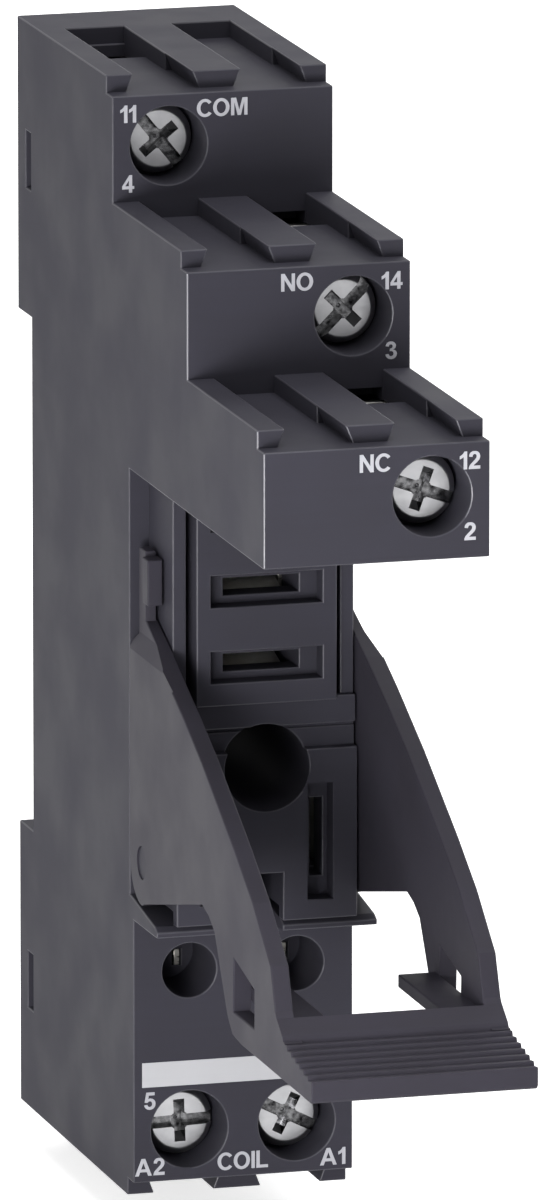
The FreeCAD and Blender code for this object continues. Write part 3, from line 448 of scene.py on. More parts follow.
@dataclass(frozen=True)
class PlatedSurface:
    """Plated metal: cloudy tone, fine scratches and their height."""

    scratch: Noise = Noise(detail=4.0, scale=4200.0, stretch=(0.18, 1.0, 1.0))
    cloud: Noise = Noise(detail=3.0, scale=900.0)
    tone: Spread = Spread(0.3, 0.7)
    matt: Spread = Spread(0.35, 0.65)

    def build(self) -> bpy.types.ShaderNodeTree:
        """Make the group, which gives height, tone and roughness."""
        maker = GroupMaker("plating")
        maker.takes("Scratch Scale", self.scratch.scale)
        maker.takes("Cloud Scale", self.cloud.scale)
        maker.gives("Height", "Tone", "Matt")
        scratch = self.scratch.add(maker, maker.given.outputs["Scratch Scale"])
        cloud = self.cloud.add(maker, maker.given.outputs["Cloud Scale"])
        maker.link(scratch, maker.result.inputs["Height"])
        self.tone.add(maker, cloud, maker.result.inputs["Tone"])
        self.matt.add(maker, scratch, maker.result.inputs["Matt"])
        return maker.tree


# Finishes

# The screen's curve: tones up to its foot are straight, and the rest follow a power
FOOT, FOOT_SLOPE, CURVE_LIFT, CURVE_POWER = 0.04045, 12.92, 0.055, 2.4


def linear(tone: Tone) -> tuple[float, float, float, float]:
    """A colour given as it looks on screen, 0 to 255, as the linear colour that a shader takes."""
    values = []
    for part in tone:
        share = part / 255.0
        curved = ((share + CURVE_LIFT) / (1.0 + CURVE_LIFT)) ** CURVE_POWER
        values.append(share / FOOT_SLOPE if share <= FOOT else curved)
    return values[0], values[1], values[2], 1.0


@dataclass(frozen=True)
class Finish:
    """A procedural finish: two near tones mixed by a pattern, with relief and varied roughness."""

    group: ClassVar[str] = "grain"

    name: FinishName
    tone: Tone
    second_tone: Tone
    rough: tuple[float, float]
    relief: float

    def make(self, groups: dict[str, bpy.types.NodeTree]) -> bpy.types.Material:
        """Build the material from the shared group that its kind uses.

        Args:
            groups: the shared groups by name.

        Returns:
            The material.
        """
        material = bpy.data.materials.new(self.name.value)
        material.use_nodes = True
        tree = material.node_tree
        shader = tree.nodes["Principled BSDF"]
        group = new_node(tree, "ShaderNodeGroup", node_tree=groups[self.group])
        self.pattern(tree, shader, group)
        self.tune(shader, group)
        return material

    def tune(self, shader: bpy.types.Node, group: bpy.types.Node) -> None:
        """Set what its kind alone has. A plain finish has nothing more."""

    def pattern(self, tree: bpy.types.NodeTree, shader: bpy.types.Node,
                group: bpy.types.Node) -> None:
        """Lay the group's tone, roughness and height on the shader.

        Args:
            tree: the material's tree.
            shader: its Principled shader.
            group: a node of one of the shared groups.
        """
        mix = new_node(tree, "ShaderNodeMix", data_type="RGBA")
        mix.inputs["A"].default_value = linear(self.tone)
        mix.inputs["B"].default_value = linear(self.second_tone)
        tree.links.new(group.outputs["Tone"], mix.inputs["Factor"])
        tree.links.new(mix.outputs["Result"], shader.inputs["Base Color"])
        matt = new_node(tree, "ShaderNodeMapRange")
        matt.inputs["To Min"].default_value = self.rough[0]
        matt.inputs["To Max"].default_value = self.rough[1]
        tree.links.new(group.outputs["Matt"], matt.inputs["Value"])
        tree.links.new(matt.outputs["Result"], shader.inputs["Roughness"])
        bump = new_node(tree, "ShaderNodeBump")
        bump.inputs["Strength"].default_value = 1.0
        bump.inputs["Distance"].default_value = self.relief * MM
        tree.links.new(group.outputs["Height"], bump.inputs["Height"])
        tree.links.new(bump.outputs["Normal"], shader.inputs["Normal"])


@dataclass(frozen=True)
class MouldedPlastic(Finish):
    """Dark moulded plastic with an eroded grain."""

    gloss: float = 0.06

    def tune(self, shader: bpy.types.Node, group: bpy.types.Node) -> None:
        """Set the gloss."""
        shader.inputs["Specular IOR Level"].default_value = self.gloss


@dataclass(frozen=True)
class PlatedMetal(Finish):
    """Zinc or tin plate on steel, brass or bronze."""

    group: ClassVar[str] = "plating"

    scratch_scale: float = 4200.0
    cloud_scale: float = 900.0

    def tune(self, shader: bpy.types.Node, group: bpy.types.Node) -> None:
        """Set the metal and the size of its scratches and clouds."""
        group.inputs["Scratch Scale"].default_value = self.scratch_scale
        group.inputs["Cloud Scale"].default_value = self.cloud_scale
        shader.inputs["Metallic"].default_value = 1.0


@dataclass(frozen=True)
class PadPrint(Finish):
    """Opaque pale ink, a little uneven."""


FINISHES = (
    MouldedPlastic(FinishName.HOUSING, (54, 53, 60), (56, 55, 63), (0.5, 0.6), 0.004),
    MouldedPlastic(FinishName.COVER, (53, 52, 59), (55, 54, 61), (0.52, 0.62), 0.004),
    MouldedPlastic(FinishName.LATCH, (48, 47, 54), (52, 51, 58), (0.45, 0.55), 0.003),
    MouldedPlastic(FinishName.LEVER, (52, 50, 57), (54, 52, 60), (0.44, 0.54), 0.003),
    # Lighter tones painted as highlights on rounded edges, with more gloss; the brighter pair is for
    # front corners facing the left lamp
    MouldedPlastic(FinishName.PAINTED_EDGE_HIGHLIGHT, (60, 59, 66), (72, 71, 78), (0.34, 0.46), 0.002, gloss=0.2),
    MouldedPlastic(FinishName.PAINTED_CORNER_HIGHLIGHT, (84, 83, 90), (108, 107, 114), (0.28, 0.4), 0.002, gloss=0.35),
    PlatedMetal(FinishName.SCREW, (180, 180, 182), (166, 166, 169), (0.3, 0.42), 0.0005),
    # Dark tone painted as the shade inside the screws' recesses, mottled with lighter patches
    # painted as glints
    PlatedMetal(FinishName.PAINTED_RECESS_SHADE, (132, 132, 134), (24, 24, 26), (0.14, 0.28), 0.02,
                scratch_scale=1700.0, cloud_scale=2600.0),
    PlatedMetal(FinishName.CAGE, (190, 189, 186), (168, 168, 166), (0.28, 0.42), 0.001),
    PlatedMetal(FinishName.SPRING, (170, 170, 172), (150, 150, 153), (0.22, 0.34), 0.0006),
    PlatedMetal(FinishName.STRIP, (190, 188, 182), (168, 166, 160), (0.24, 0.38), 0.0008),
    PlatedMetal(FinishName.CLIP, (216, 215, 213), (196, 195, 192), (0.3, 0.44), 0.0006),
    PadPrint(FinishName.INK, (178, 178, 184), (168, 168, 175), (0.55, 0.65), 0.002),
    PadPrint(FinishName.FIELD, (176, 176, 180), (181, 181, 185), (0.5, 0.62), 0.003),
)


class Palette:
    """All finishes, made once."""

    def __init__(self) -> None:
        """Build the shared groups and every material."""
        groups = {"grain": MouldedGrain().build(), "plating": PlatedSurface().build()}
        self.materials = {finish.name: finish.make(groups) for finish in FINISHES}

    def dress(self, made: bpy.types.Object, *names: FinishName) -> None:
        """Give an object its finishes, in the order of its faces' material numbers.

        Clearing sets every face's number back to 0, so an empty list is left as it is.

        Args:
            made: the object.
            names: its finishes.
        """
        if made.data.materials:
            made.data.materials.clear()
        for name in names:
            made.data.materials.append(self.materials[name])


# Sub-assemblies


@dataclass(frozen=True)
class WireMouth:
    """The deep, dark back of a row's wire entry, cut under the front wall of the row above it."""

    row: int
    left: float = 1.76
    right: float = 5.79
    depth: float = 2.2
    drop: float = 3.2
    lip: float = 0.03
    overshoot: float = 0.3

    def cutter(self) -> bpy.types.Object:
        """The block that is cut away."""
        wall, floor = row_reach(self.row - 1), row_floor(self.row)
        low = Vector((self.left, -wall - self.overshoot, floor - self.drop))
        high = Vector((self.right, -wall + self.depth, floor - self.lip))
        return joined_mesh(block(low, high), "wire_mouth")


# The mouldings' rounded edges carry the painted edge highlight; the lever's and the sheet parts'
# stay plain
MOULDING = EdgeRounding(0.09, highlight_number=EDGE_HIGHLIGHT_FACE)
PLAIN = EdgeRounding(0.09)
SHEET = EdgeRounding(0.05)


@dataclass(frozen=True)
class RoundedPiece:
    """One piece shown as a copy of its node: its body, finish, material slot, edges and cuts."""

    node: str
    body: str
    finish: FinishName
    slot: str
    rounding: EdgeRounding
    mouths: tuple[WireMouth, ...] = ()


MOULDINGS = (
    RoundedPiece("housing", "base", FinishName.HOUSING, "housing_plastic", MOULDING,
                 (WireMouth(1), WireMouth(2))),
    RoundedPiece("rear_cover", "base", FinishName.COVER, "cover_plastic", MOULDING),
    RoundedPiece("rail_latch", "rail_latch", FinishName.LATCH, "latch_plastic", MOULDING),
    RoundedPiece("lever", "lever", FinishName.LEVER, "lever_plastic", PLAIN),
)


@dataclass
class RoundedPieces:
    """Moulded and stamped pieces shown as copies of their nodes with rounded edges.

    Rounded edges with the moulding rounding get a lighter tone painted as an edge highlight. Rounded
    ones further out than the reach given below that stand upright and face left and forwards,
    towards the key lamp, get a brighter painted highlight. Standing upright and facing left and
    forwards are both told by parts of the face's normal.
    """

    palette: Palette
    painted_corner_reach: float = 39.0
    most_rise: float = 0.2
    least_share: float = 0.2

    def show(self, piece: RoundedPiece) -> None:
        """Replace one node by its rounded copy.

        Args:
            piece: what is shown and how.
        """
        shape = merged_copy(piece.node)
        count = piece.rounding.apply(shape)
        # Upright front corners facing the left lamp get a brighter painted highlight in place of the
        # plain one
        for face in shape.faces:
            if face.material_index and self.gets_corner_highlight(face):
                face.material_index = CORNER_HIGHLIGHT_FACE
        made = joined_mesh(shape, f"{piece.node}_rounded")
        if piece.mouths:
            carve(made, [mouth.cutter() for mouth in piece.mouths])
        shade_by_angle(made)
        # The second and third finishes are the painted edge highlight and the painted corner
        # highlight
        self.palette.dress(made, piece.finish, FinishName.PAINTED_EDGE_HIGHLIGHT, FinishName.PAINTED_CORNER_HIGHLIGHT)
        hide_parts(piece.node)
        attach(made, piece.body)
        LOG.info("%s: %d edges rounded", piece.node, count)

    def gets_corner_highlight(self, face: bmesh.types.BMFace) -> bool:
        """Whether a rounded edge is an upright front corner of the rows that stand out most, facing
        the left lamp, where a brighter highlight is painted.
        """
        normal = face.normal
        upright = abs(normal.z) < self.most_rise and min(-normal.x, -normal.y) > self.least_share
        return upright and face.calc_center_median().y < -self.painted_corner_reach * MM

    def build(self) -> None:
        """Show every moulding, strip, clip and cage with rounded edges."""
        for moulding in MOULDINGS:
            self.show(moulding)
        for name in TERMINALS:
            cage = f"cage_{name}"
            self.show(RoundedPiece(f"strip_{name}", "base", FinishName.STRIP, "strip_brass", SHEET))
            self.show(RoundedPiece(f"clip_{name}", "base", FinishName.CLIP, "clip_bronze", SHEET))
            self.show(RoundedPiece(cage, cage, FinishName.CAGE, "cage_steel", SHEET))


@dataclass(frozen=True)
class LetterBand:
    """The oval band of a round letter, in capital heights."""

    outer: tuple[float, float] = (0.48, 0.52)
    inner: tuple[float, float] = (0.27, 0.35)
    middle: float = 0.5
    steps: int = 28

    def outlines(self, gap: float = 0.0) -> list[Outline]:
        """Draw the band, open on its right where a gap is given.

        Args:
            gap: half of the opening's angle, in degrees, or 0 for a closed band.

        Returns:
            One outline of an open band, or the two ovals of a closed one.
        """
        ovals = []
        for wide, tall in (self.outer, self.inner):
            turn = 360.0 - 2.0 * gap
            angles = [math.radians(gap + turn * step / self.steps)
                      for step in range(self.steps + bool(gap))]
            ovals.append([(self.outer[0] + wide * math.cos(angle),
                           self.middle + tall * math.sin(angle)) for angle in angles])
        return [ovals[0] + ovals[1][::-1]] if gap else ovals


ROUND = LetterBand()
C_OPENING = 38.0

# Each letter's width and its outlines, in capital heights from its lower left corner
LETTERS: dict[str, tuple[float, list[Outline]]] = {
    "I": (0.2, [[(0, 0), (0.2, 0), (0.2, 1), (0, 1)]]),
    "L": (0.68, [[(0, 0), (0.68, 0), (0.68, 0.17), (0.2, 0.17), (0.2, 1), (0, 1)]]),
    "M": (0.96, [[(0, 0), (0.19, 0), (0.19, 0.76), (0.385, 0), (0.575, 0), (0.77, 0.76), (0.77, 0),
                  (0.96, 0), (0.96, 1), (0.665, 1), (0.48, 0.3), (0.295, 1), (0, 1)]]),
    "N": (0.8, [[(0, 0), (0.19, 0), (0.19, 0.66), (0.6, 0), (0.8, 0), (0.8, 1), (0.61, 1),
                 (0.61, 0.34), (0.2, 1), (0, 1)]]),
    "A": (0.99, [[(0, 0), (0.215, 0), (0.3, 0.22), (0.69, 0.22), (0.775, 0), (0.99, 0), (0.6, 1),
                  (0.385, 1)],
                 [(0.363, 0.39), (0.627, 0.39), (0.495, 0.76)]]),
    "O": (0.96, ROUND.outlines()),
    "C": (0.86, ROUND.outlines(C_OPENING)),
    "1": (0.42, [[(0.22, 0), (0.42, 0), (0.42, 1), (0.26, 1), (0.19, 0.88), (0.1, 0.8), (0, 0.75),
                  (0, 0.57), (0.12, 0.62), (0.22, 0.7)]]),
    "4": (0.7, [[(0.39, 0), (0.58, 0), (0.58, 0.2), (0.7, 0.2), (0.7, 0.37), (0.58, 0.37),
                 (0.58, 1), (0.42, 1), (0, 0.37), (0, 0.2), (0.39, 0.2)],
                [(0.39, 0.37), (0.17, 0.37), (0.39, 0.7)]]),
    "2": (0.66, [[(0, 0), (0.66, 0), (0.66, 0.18), (0.28, 0.18), (0.32, 0.24), (0.48, 0.38),
                  (0.6, 0.51), (0.65, 0.63), (0.655, 0.74), (0.62, 0.86), (0.54, 0.95),
                  (0.43, 0.995), (0.33, 1), (0.2, 0.985), (0.1, 0.92), (0.04, 0.82), (0.02, 0.7),
                  (0.21, 0.68), (0.23, 0.76), (0.27, 0.82), (0.335, 0.84), (0.41, 0.815),
                  (0.45, 0.76), (0.455, 0.7), (0.43, 0.61), (0.35, 0.51), (0.2, 0.37),
                  (0.08, 0.24), (0.02, 0.12)]]),
    "3": (0.66, [[(0, 0.27), (0.18, 0.29), (0.21, 0.21), (0.27, 0.17), (0.33, 0.155), (0.41, 0.18),
                  (0.46, 0.24), (0.47, 0.31), (0.45, 0.39), (0.39, 0.44), (0.31, 0.455),
                  (0.24, 0.44), (0.26, 0.59), (0.33, 0.6), (0.39, 0.64), (0.42, 0.7), (0.41, 0.77),
                  (0.37, 0.82), (0.31, 0.84), (0.24, 0.82), (0.2, 0.77), (0.18, 0.71),
                  (0.01, 0.74), (0.04, 0.84), (0.1, 0.93), (0.2, 0.985), (0.31, 1), (0.44, 0.98),
                  (0.54, 0.91), (0.6, 0.82), (0.61, 0.73), (0.58, 0.63), (0.5, 0.56), (0.44, 0.53),
                  (0.54, 0.5), (0.62, 0.43), (0.66, 0.34), (0.66, 0.27), (0.63, 0.16),
                  (0.56, 0.07), (0.46, 0.01), (0.33, -0.015), (0.2, 0.01), (0.1, 0.07),
                  (0.03, 0.16)]]),
    "5": (0.67, [[(0, 0.26), (0.19, 0.28), (0.22, 0.2), (0.28, 0.16), (0.34, 0.15), (0.41, 0.18),
                  (0.46, 0.24), (0.475, 0.32), (0.46, 0.41), (0.41, 0.47), (0.34, 0.49),
                  (0.26, 0.47), (0.19, 0.4), (0.03, 0.425), (0.13, 1), (0.62, 1), (0.62, 0.82),
                  (0.27, 0.82), (0.245, 0.61), (0.31, 0.64), (0.38, 0.645), (0.5, 0.62),
                  (0.6, 0.54), (0.66, 0.43), (0.67, 0.33), (0.65, 0.2), (0.58, 0.08), (0.47, 0.01),
                  (0.34, -0.015), (0.2, 0.01), (0.09, 0.08), (0.02, 0.18)]]),
}


@dataclass(frozen=True)
class Mark:
    """One printed mark: its letters and where its middle stands."""

    words: str
    across: float
    reach: float
    level: float


MARKS = (
    Mark("11", -6.62, row_reach(0), 36.19),
    Mark("COM", -0.04, row_reach(0), 36.34),
    Mark("4", -6.63, row_reach(0), 31.39),
    Mark("NO", -0.12, row_reach(1), 27.91),
    Mark("14", 6.47, row_reach(1), 27.68),
    Mark("3", 6.41, row_reach(1), 22.92),
    Mark("NC", -0.14, row_reach(2), 19.39),
    Mark("12", 6.37, row_reach(2), 19.22),
    Mark("2", 6.38, row_reach(2), 14.44),
    Mark("5", -6.59, LOWER_REACH, -31.2),
    Mark("A2", -6.6, LOWER_REACH, -35.83),
    Mark("COIL", -0.03, LOWER_REACH, -35.79),
    Mark("A1", 6.35, LOWER_REACH, -35.94),
)


@dataclass
class PrintedLegends:
    """The terminals' generic marks and the plain marking field above the coil terminals.

    Letters are as high as capital. The spacing between them is a share of that height.
    """

    palette: Palette
    capital: float = 1.2
    spacing: float = 0.09
    ink: float = 0.015
    field_width: float = 14.26
    field_height: float = 1.72
    field_level: float = -29.39
    field_sheet: float = 0.03
    field_edge: float = 0.008

    def flat_letters(self, words: str) -> bpy.types.Curve:
        """Draw the outlines of one mark.

        Args:
            words: the letters or figures.

        Returns:
            A filled flat curve with its middle at the origin, in millimetres.
        """
        curve = bpy.data.curves.new(f"mark_{words}", "CURVE")
        curve.dimensions = "2D"
        curve.fill_mode = "BOTH"
        curve.extrude = self.ink / 2
        width = sum(LETTERS[letter][0] for letter in words) + self.spacing * (len(words) - 1)
        start = -width / 2
        for letter in words:
            for outline in LETTERS[letter][1]:
                spline = curve.splines.new("POLY")
                spline.points.add(len(outline) - 1)
                for point, (across, up) in zip(spline.points, outline):
                    place = Vector((start + across, up - 0.5, 0.0)) * self.capital
                    point.co = (*place, 1.0)
                spline.use_cyclic_u = True
            start += LETTERS[letter][0] + self.spacing
        return curve

    def print_mark(self, mark: Mark) -> None:
        """Print one mark on a front face.

        Args:
            mark: its letters and place.
        """
        name = f"mark_{mark.words}"
        outline = bpy.data.objects.new(name, self.flat_letters(mark.words))
        bpy.context.scene.collection.objects.link(outline)
        bpy.context.view_layer.update()
        evaluated = outline.evaluated_get(bpy.context.evaluated_depsgraph_get())
        mesh = bpy.data.meshes.new_from_object(evaluated)
        bpy.data.curves.remove(outline.data)
        upright = Matrix.Rotation(math.radians(90), 4, "X")
        middle = Vector((mark.across, -(mark.reach + self.ink / 2), mark.level))
        place = Matrix.Translation(middle * MM) @ upright @ Matrix.Scale(MM, 4)
        shape = bmesh.new()
        shape.from_mesh(mesh)
        bpy.data.meshes.remove(mesh)
        bmesh.ops.transform(shape, matrix=place, verts=shape.verts)
        bmesh.ops.remove_doubles(shape, verts=shape.verts, dist=SAME_INK_CORNER * MM)
        made = joined_mesh(shape, name)
        self.palette.dress(made, FinishName.INK)
        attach(made, "base")
        LOG.info("mark %s", mark.words)

    def print_field(self) -> None:
        """Lay the plain pale field on the lower front."""
        half_width, half_height = self.field_width / 2, self.field_height / 2
        low = Vector((-half_width, -LOWER_REACH - self.field_sheet, self.field_level - half_height))
        high = Vector((half_width, -LOWER_REACH, self.field_level + half_height))
        shape = block(low, high)
        bmesh.ops.bevel(shape, geom=shape.edges[:], offset=self.field_edge * MM, segments=1,
                        profile=0.5, affect="EDGES", material=-1)
        made = joined_mesh(shape, "marking_field")
        self.palette.dress(made, FinishName.FIELD)
        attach(made, "base")
        LOG.info("marking field")

    def build(self) -> None:
        """Print every mark and the field."""
        for mark in MARKS:
            self.print_mark(mark)
        self.print_field()


@dataclass
class TerminalScrews:
    """The five captive screws: turned heads with a rounded rim, a recess and a threaded shank.

    Each is built in millimetres along +Z with its face at zero, and scaled when it is placed. The
    face's corners are told from the flat face's radius, and the rim's from the head's radius.
    """

    palette: Palette
    steps: int = 72
    same_corner: float = 0.0005
    crease: float = 38.0
    # Head and shank
    face: float = 1.95
    face_corners: tuple[tuple[float, float], ...] = ((-0.06, 0.0), (0.0, -0.004), (0.09, -0.05))
    rim_corners: tuple[tuple[float, float], ...] = ((-0.1, -0.42), (-0.03, -0.54), (0.0, -0.68))
    head: float = 1.6
    head_chamfer: float = 0.08
    core: float = 1.22
    tip_chamfer: float = 0.4
    # Thread
    crest: float = 1.48
    pitch: float = 0.5
    ridge_root: float = 0.2
    ridge_crest: float = 0.03
    ridge_sink: float = 0.06
    runout: float = 0.9
    thread_steps: int = 24
    # Recess
    slot_width: float = 0.84
    slot_depth: float = 0.86
    cross_width: float = 0.8
    cross_reach: float = 1.62
    cross_foot: float = 1.0
    cross_depth: float = 1.1
    cross_taper: float = 0.85
    point_radius: float = 0.7
    point_tip: float = 0.08
    point_depth: float = 1.3
    point_lift: float = 0.02
    point_sides: int = 8
    overshoot: float = 0.3
    # How a recess face, which gets a dark tone painted as shade, is told: by its rise, and by its
    # distance from the face and the rim
    floor_rise: float = 0.9
    wall_rise: float = 0.3
    under_face: float = 0.02
    under_point: float = 0.1
    inside_rim: float = 0.12
    turns: dict[str, float] = field(default_factory=lambda: {
        "com": 51.0, "no": -45.0, "nc": 20.0, "a2": -2.0, "a1": 27.0})

    def blank(self, radius: float, length: float) -> bpy.types.Object:
        """Spin the head and the core of the shank.

        Args:
            radius: radius of the head.
            length: whole length of the screw.

        Returns:
            The closed solid before its recess is cut.
        """
        outline = [(0.0, 0.0)]
        outline += [(self.face + out, level) for out, level in self.face_corners]
        outline += [(radius + out, level) for out, level in self.rim_corners]
        outline += [(radius, -self.head + self.head_chamfer),
                    (radius - self.head_chamfer, -self.head), (self.core, -self.head),
                    (self.core, -length + self.tip_chamfer),
                    (self.core - self.tip_chamfer, -length), (0.0, -length)]
        shape = bmesh.new()
        corners = [shape.verts.new((out, 0.0, level)) for out, level in outline]
        for first, second in zip(corners, corners[1:]):
            shape.edges.new((first, second))
        bmesh.ops.spin(shape, geom=shape.verts[:] + shape.edges[:], cent=(0, 0, 0), axis=(0, 0, 1),
                       angle=math.tau, steps=self.steps, use_merge=True)
        bmesh.ops.remove_doubles(shape, verts=shape.verts, dist=self.same_corner)
        return joined_mesh(shape, "screw_blank")

    def thread(self, length: float) -> bmesh.types.BMesh:
        """Wind the helical ridge along the shank.

        Args:
            length: whole length of the screw.

        Returns:
            The ridge as a closed shape of its own, sunk a little into the core.
        """
        start = -self.head - self.runout
        root = self.core - self.ridge_sink
        section = [(root, self.ridge_root), (self.crest, self.ridge_crest),
                   (self.crest, -self.ridge_crest), (root, -self.ridge_root)]
        shape = bmesh.new()
        shape.faces.new([shape.verts.new((out, 0.0, start + level)) for out, level in section])
        count = int((length + start - self.runout) / self.pitch * self.thread_steps)
        bmesh.ops.spin(shape, geom=shape.faces[:], cent=(0, 0, 0), axis=(0, 0, 1),
                       dvec=(0, 0, -self.pitch / self.thread_steps),
                       angle=math.tau * count / self.thread_steps, steps=count)
        return shape

    def cutter(self, form: RecessForm) -> bpy.types.Object:
        """Make one of the recess's forms.

        Args:
            form: the slot, which runs out past the rim, the tapered cross arm or the centre point.

        Returns:
            The closed shape that is cut away.
        """
        shape = bmesh.new()
        if form is RecessForm.POINT:
            bmesh.ops.create_cone(shape, cap_ends=True, segments=self.point_sides,
                                  radius1=self.point_tip, radius2=self.point_radius,
                                  depth=self.point_depth)
            bmesh.ops.translate(shape, vec=(0, 0, self.point_lift - self.point_depth / 2),
                                verts=shape.verts)
            return joined_mesh(shape, form.value)
        bmesh.ops.create_cube(shape, size=1.0)
        if form is RecessForm.SLOT:
            across, along, depth = 3 * self.face, self.slot_width, self.slot_depth
        else:
            across, along, depth = self.cross_width, 2 * self.cross_reach, self.cross_depth
            foot = [corner for corner in shape.verts if corner.co.z < 0]
            taper = (self.cross_taper, self.cross_foot / self.cross_reach, 1.0)
            bmesh.ops.scale(shape, vec=taper, verts=foot)
        bmesh.ops.scale(shape, vec=(across, along, depth + self.overshoot), verts=shape.verts)
        bmesh.ops.translate(shape, vec=(0, 0, (self.overshoot - depth) / 2), verts=shape.verts)
        return joined_mesh(shape, form.value)

    def cut(self, blank: bpy.types.Object) -> bpy.types.Mesh:
        """Cut the recess out of the head and return the finished mesh, without its object."""
        carve(blank, [self.cutter(form) for form in RecessForm])
        mesh = blank.data
        bpy.data.objects.remove(blank)
        return mesh

    def in_recess(self, face: bmesh.types.BMFace, radius: float) -> bool:
        """Whether a face is a wall or a floor of the recess, which gets painted shade. Its sloping
        point keeps the screw's own finish.
        """
        middle = face.calc_center_median()
        if not -self.point_depth - self.under_point < middle.z < -self.under_face:
            return False
        rise = face.normal.z
        inside = middle.xy.length < radius - self.inside_rim
        return rise > self.floor_rise or (abs(rise) < self.wall_rise and inside)

    def place(self, name: str) -> None:
        """Make one screw where its node stands, turned as it was driven.

        Args:
            name: its terminal.
        """
        node = f"screw_{name}"
        low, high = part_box(node)
        radius = (high.x - low.x) / 2 / MM
        length = (high.y - low.y) / MM
        shape = self.thread(length)
        turned = self.cut(self.blank(radius, length))
        shape.from_mesh(turned)
        bpy.data.meshes.remove(turned)
        # Recess walls and floors take the finish with the painted shade and glints
        for face in shape.faces:
            face.material_index = int(self.in_recess(face, radius))
        where = Matrix.Translation(Vector(((low.x + high.x) / 2, low.y, (low.z + high.z) / 2)))
        turn = Matrix.Rotation(math.radians(self.turns[name]), 4, "Y")
        upright = Matrix.Rotation(math.radians(90), 4, "X")
        bmesh.ops.transform(shape, matrix=where @ turn @ upright @ Matrix.Scale(MM, 4),
                            verts=shape.verts)
        made = joined_mesh(shape, f"{node}_turned")
        shade_by_angle(made, self.crease)
        self.palette.dress(made, FinishName.SCREW, FinishName.PAINTED_RECESS_SHADE)
        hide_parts(node)
        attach(made, node)
        LOG.info("%s: %d faces", node, len(made.data.polygons))

    def build(self) -> None:
        """Make every screw."""
        for name in TERMINALS:
            self.place(name)


def dress_remaining(palette: Palette) -> None:
    """Give the spring, which stays as its node, its wire finish."""
    palette.dress(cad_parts["latch_spring"], FinishName.SPRING)
    LOG.info("spring dressed")


# Studio

WHITE = (1.0, 1.0, 1.0, 1.0)


@dataclass(frozen=True)
class PhotoCamera:
    """The camera fitted to the photograph's edges.

    The angles are in degrees. The scale is in pixels of the photograph to a millimetre, at the
    camera's distance. The shifts say where the rail seat's left end stands in the picture, to the
    right of its middle and up.
    """

    azimuth: float = 15.706
    elevation: float = 12.26
    scale: float = 14.485
    distance: float = 1224.8
    shift_x: float = -16.958
    shift_y: float = 1.712
    left_face: float = -7.75
    long_side: int = 1200
    sensor: float = 36.0

    def build(self) -> None:
        """Place the camera and make it the scene's."""
        turn, rise = math.radians(self.azimuth), math.radians(self.elevation)
        right = Vector((math.cos(turn), -math.sin(turn), 0.0))
        level = Vector((math.sin(turn), math.cos(turn), 0.0))
        up = Vector((0.0, 0.0, 1.0))
        ahead = level * math.cos(rise) - up * math.sin(rise)
        above = level * math.sin(rise) + up * math.cos(rise)
        place = -self.shift_x * right - self.shift_y * above - self.distance * ahead
        place.x += self.left_face
        data = bpy.data.cameras.new("photo_camera")
        data.sensor_width = self.sensor
        data.lens = self.scale * self.distance / self.long_side * self.sensor
        camera = bpy.data.objects.new("photo_camera", data)
        axes = Matrix((right, above, -ahead)).transposed().to_4x4()
        camera.matrix_world = Matrix.Translation(place * MM) @ axes
        bpy.context.scene.collection.objects.link(camera)
        bpy.context.scene.camera = camera
        LOG.info("camera lens %.1f mm", data.lens)


@dataclass(frozen=True)
class SoftLamp:
    """One soft square lamp, in metres and watts, aimed at the socket."""

    name: str
    place: tuple[float, float, float]
    size: float
    power: float

    def build(self, aim: Vector) -> None:
        """Hang the lamp and aim it."""
        data = bpy.data.lights.new(self.name, "AREA")
        data.shape = "SQUARE"
        data.size = self.size
        data.energy = self.power
        lamp = bpy.data.objects.new(self.name, data)
        lamp.location = self.place
        lamp.visible_camera = False
        lamp.rotation_euler = (aim - Vector(self.place)).to_track_quat("-Z", "Y").to_euler()
        bpy.context.scene.collection.objects.link(lamp)


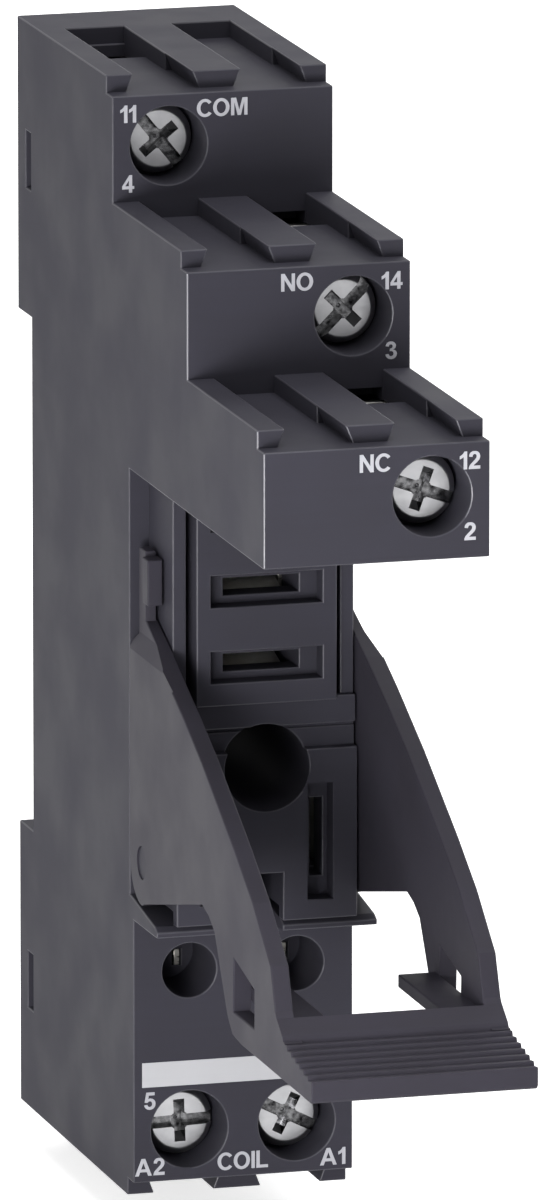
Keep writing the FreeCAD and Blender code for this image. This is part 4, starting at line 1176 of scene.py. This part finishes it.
@dataclass
class Studio:
    """A plain pale floor just under the socket, a white surround and soft lamps.

    The surround lights the socket at its own level and is white where it is seen. The floor's lift
    is the light that it shows to the camera, over what the lamps give it.
    """

    surround: float = 0.27
    floor_lift: float = 0.68
    floor_tone: tuple[float, float, float, float] = (0.8, 0.8, 0.8, 1.0)
    floor_rough: float = 0.9
    floor_half: float = 3.0
    floor_gap: float = 0.0002
    lamps: tuple[SoftLamp, ...] = (
        SoftLamp("key_left", (-0.6, -0.3, 0.3), 0.5, 0.9),
        SoftLamp("top", (0.05, -0.2, 0.7), 0.5, 3.2),
        SoftLamp("behind_right", (0.5, 0.45, 0.3), 0.5, 3.6),
        SoftLamp("front_low", (-0.1, -0.2, -0.025), 0.08, 0.5),
    )

    def white_to_camera(self, tree: bpy.types.NodeTree) -> bpy.types.NodeSocket:
        """A mask that is 1 for rays that see the backdrop: camera, mirror and glass rays."""
        path = new_node(tree, "ShaderNodeLightPath")
        mask = path.outputs["Is Camera Ray"]
        for kind in ("Is Glossy Ray", "Is Transmission Ray"):
            either = new_node(tree, "ShaderNodeMath", operation="MAXIMUM")
            tree.links.new(mask, either.inputs[0])
            tree.links.new(path.outputs[kind], either.inputs[1])
            mask = either.outputs["Value"]
        return mask

    def build_world(self) -> None:
        """A white surround that lights the socket at a plain level."""
        world = bpy.data.worlds.new("studio")
        world.use_nodes = True
        tree = world.node_tree
        tree.nodes.clear()
        mix = new_node(tree, "ShaderNodeMixShader")
        for place, strength in ((1, self.surround), (2, 1.0)):
            light = new_node(tree, "ShaderNodeBackground")
            light.inputs["Color"].default_value = WHITE
            light.inputs["Strength"].default_value = strength
            tree.links.new(light.outputs["Background"], mix.inputs[place])
        tree.links.new(self.white_to_camera(tree), mix.inputs["Fac"])
        result = new_node(tree, "ShaderNodeOutputWorld")
        tree.links.new(mix.outputs["Shader"], result.inputs["Surface"])
        bpy.context.scene.world = world

    def build_floor(self, level: float) -> None:
        """A plain pale floor that keeps the socket's shadow.

        Args:
            level: its height, in metres.
        """
        shape = bmesh.new()
        bmesh.ops.create_grid(shape, x_segments=1, y_segments=1, size=self.floor_half)
        bmesh.ops.translate(shape, vec=(0.0, 0.0, level), verts=shape.verts)
        floor = joined_mesh(shape, "floor")
        material = bpy.data.materials.new("pale_floor")
        material.use_nodes = True
        tree = material.node_tree
        shader = tree.nodes["Principled BSDF"]
        shader.inputs["Base Color"].default_value = self.floor_tone
        shader.inputs["Roughness"].default_value = self.floor_rough
        shader.inputs["Emission Color"].default_value = WHITE
        lift = new_node(tree, "ShaderNodeMath", operation="MULTIPLY")
        lift.inputs[1].default_value = self.floor_lift
        tree.links.new(self.white_to_camera(tree), lift.inputs[0])
        tree.links.new(lift.outputs["Value"], shader.inputs["Emission Strength"])
        floor.data.materials.append(material)

    def build(self) -> None:
        """Set up the world, the floor and the lamps."""
        bpy.context.scene.view_settings.view_transform = "Standard"
        self.build_world()
        self.build_floor(CAD_LOW.z - self.floor_gap)
        aim = (CAD_LOW + CAD_HIGH) / 2
        for lamp in self.lamps:
            lamp.build(aim)
        LOG.info("studio with %d lamps", len(self.lamps))


def main() -> None:
    """Build the sub-assemblies in order, then the studio and camera."""
    logging.basicConfig(level=logging.INFO, format="%(message)s")
    palette = Palette()
    RoundedPieces(palette).build()
    TerminalScrews(palette).build()
    PrintedLegends(palette).build()
    dress_remaining(palette)
    Studio().build()
    PhotoCamera().build()


if __name__ == "__main__":
    main()
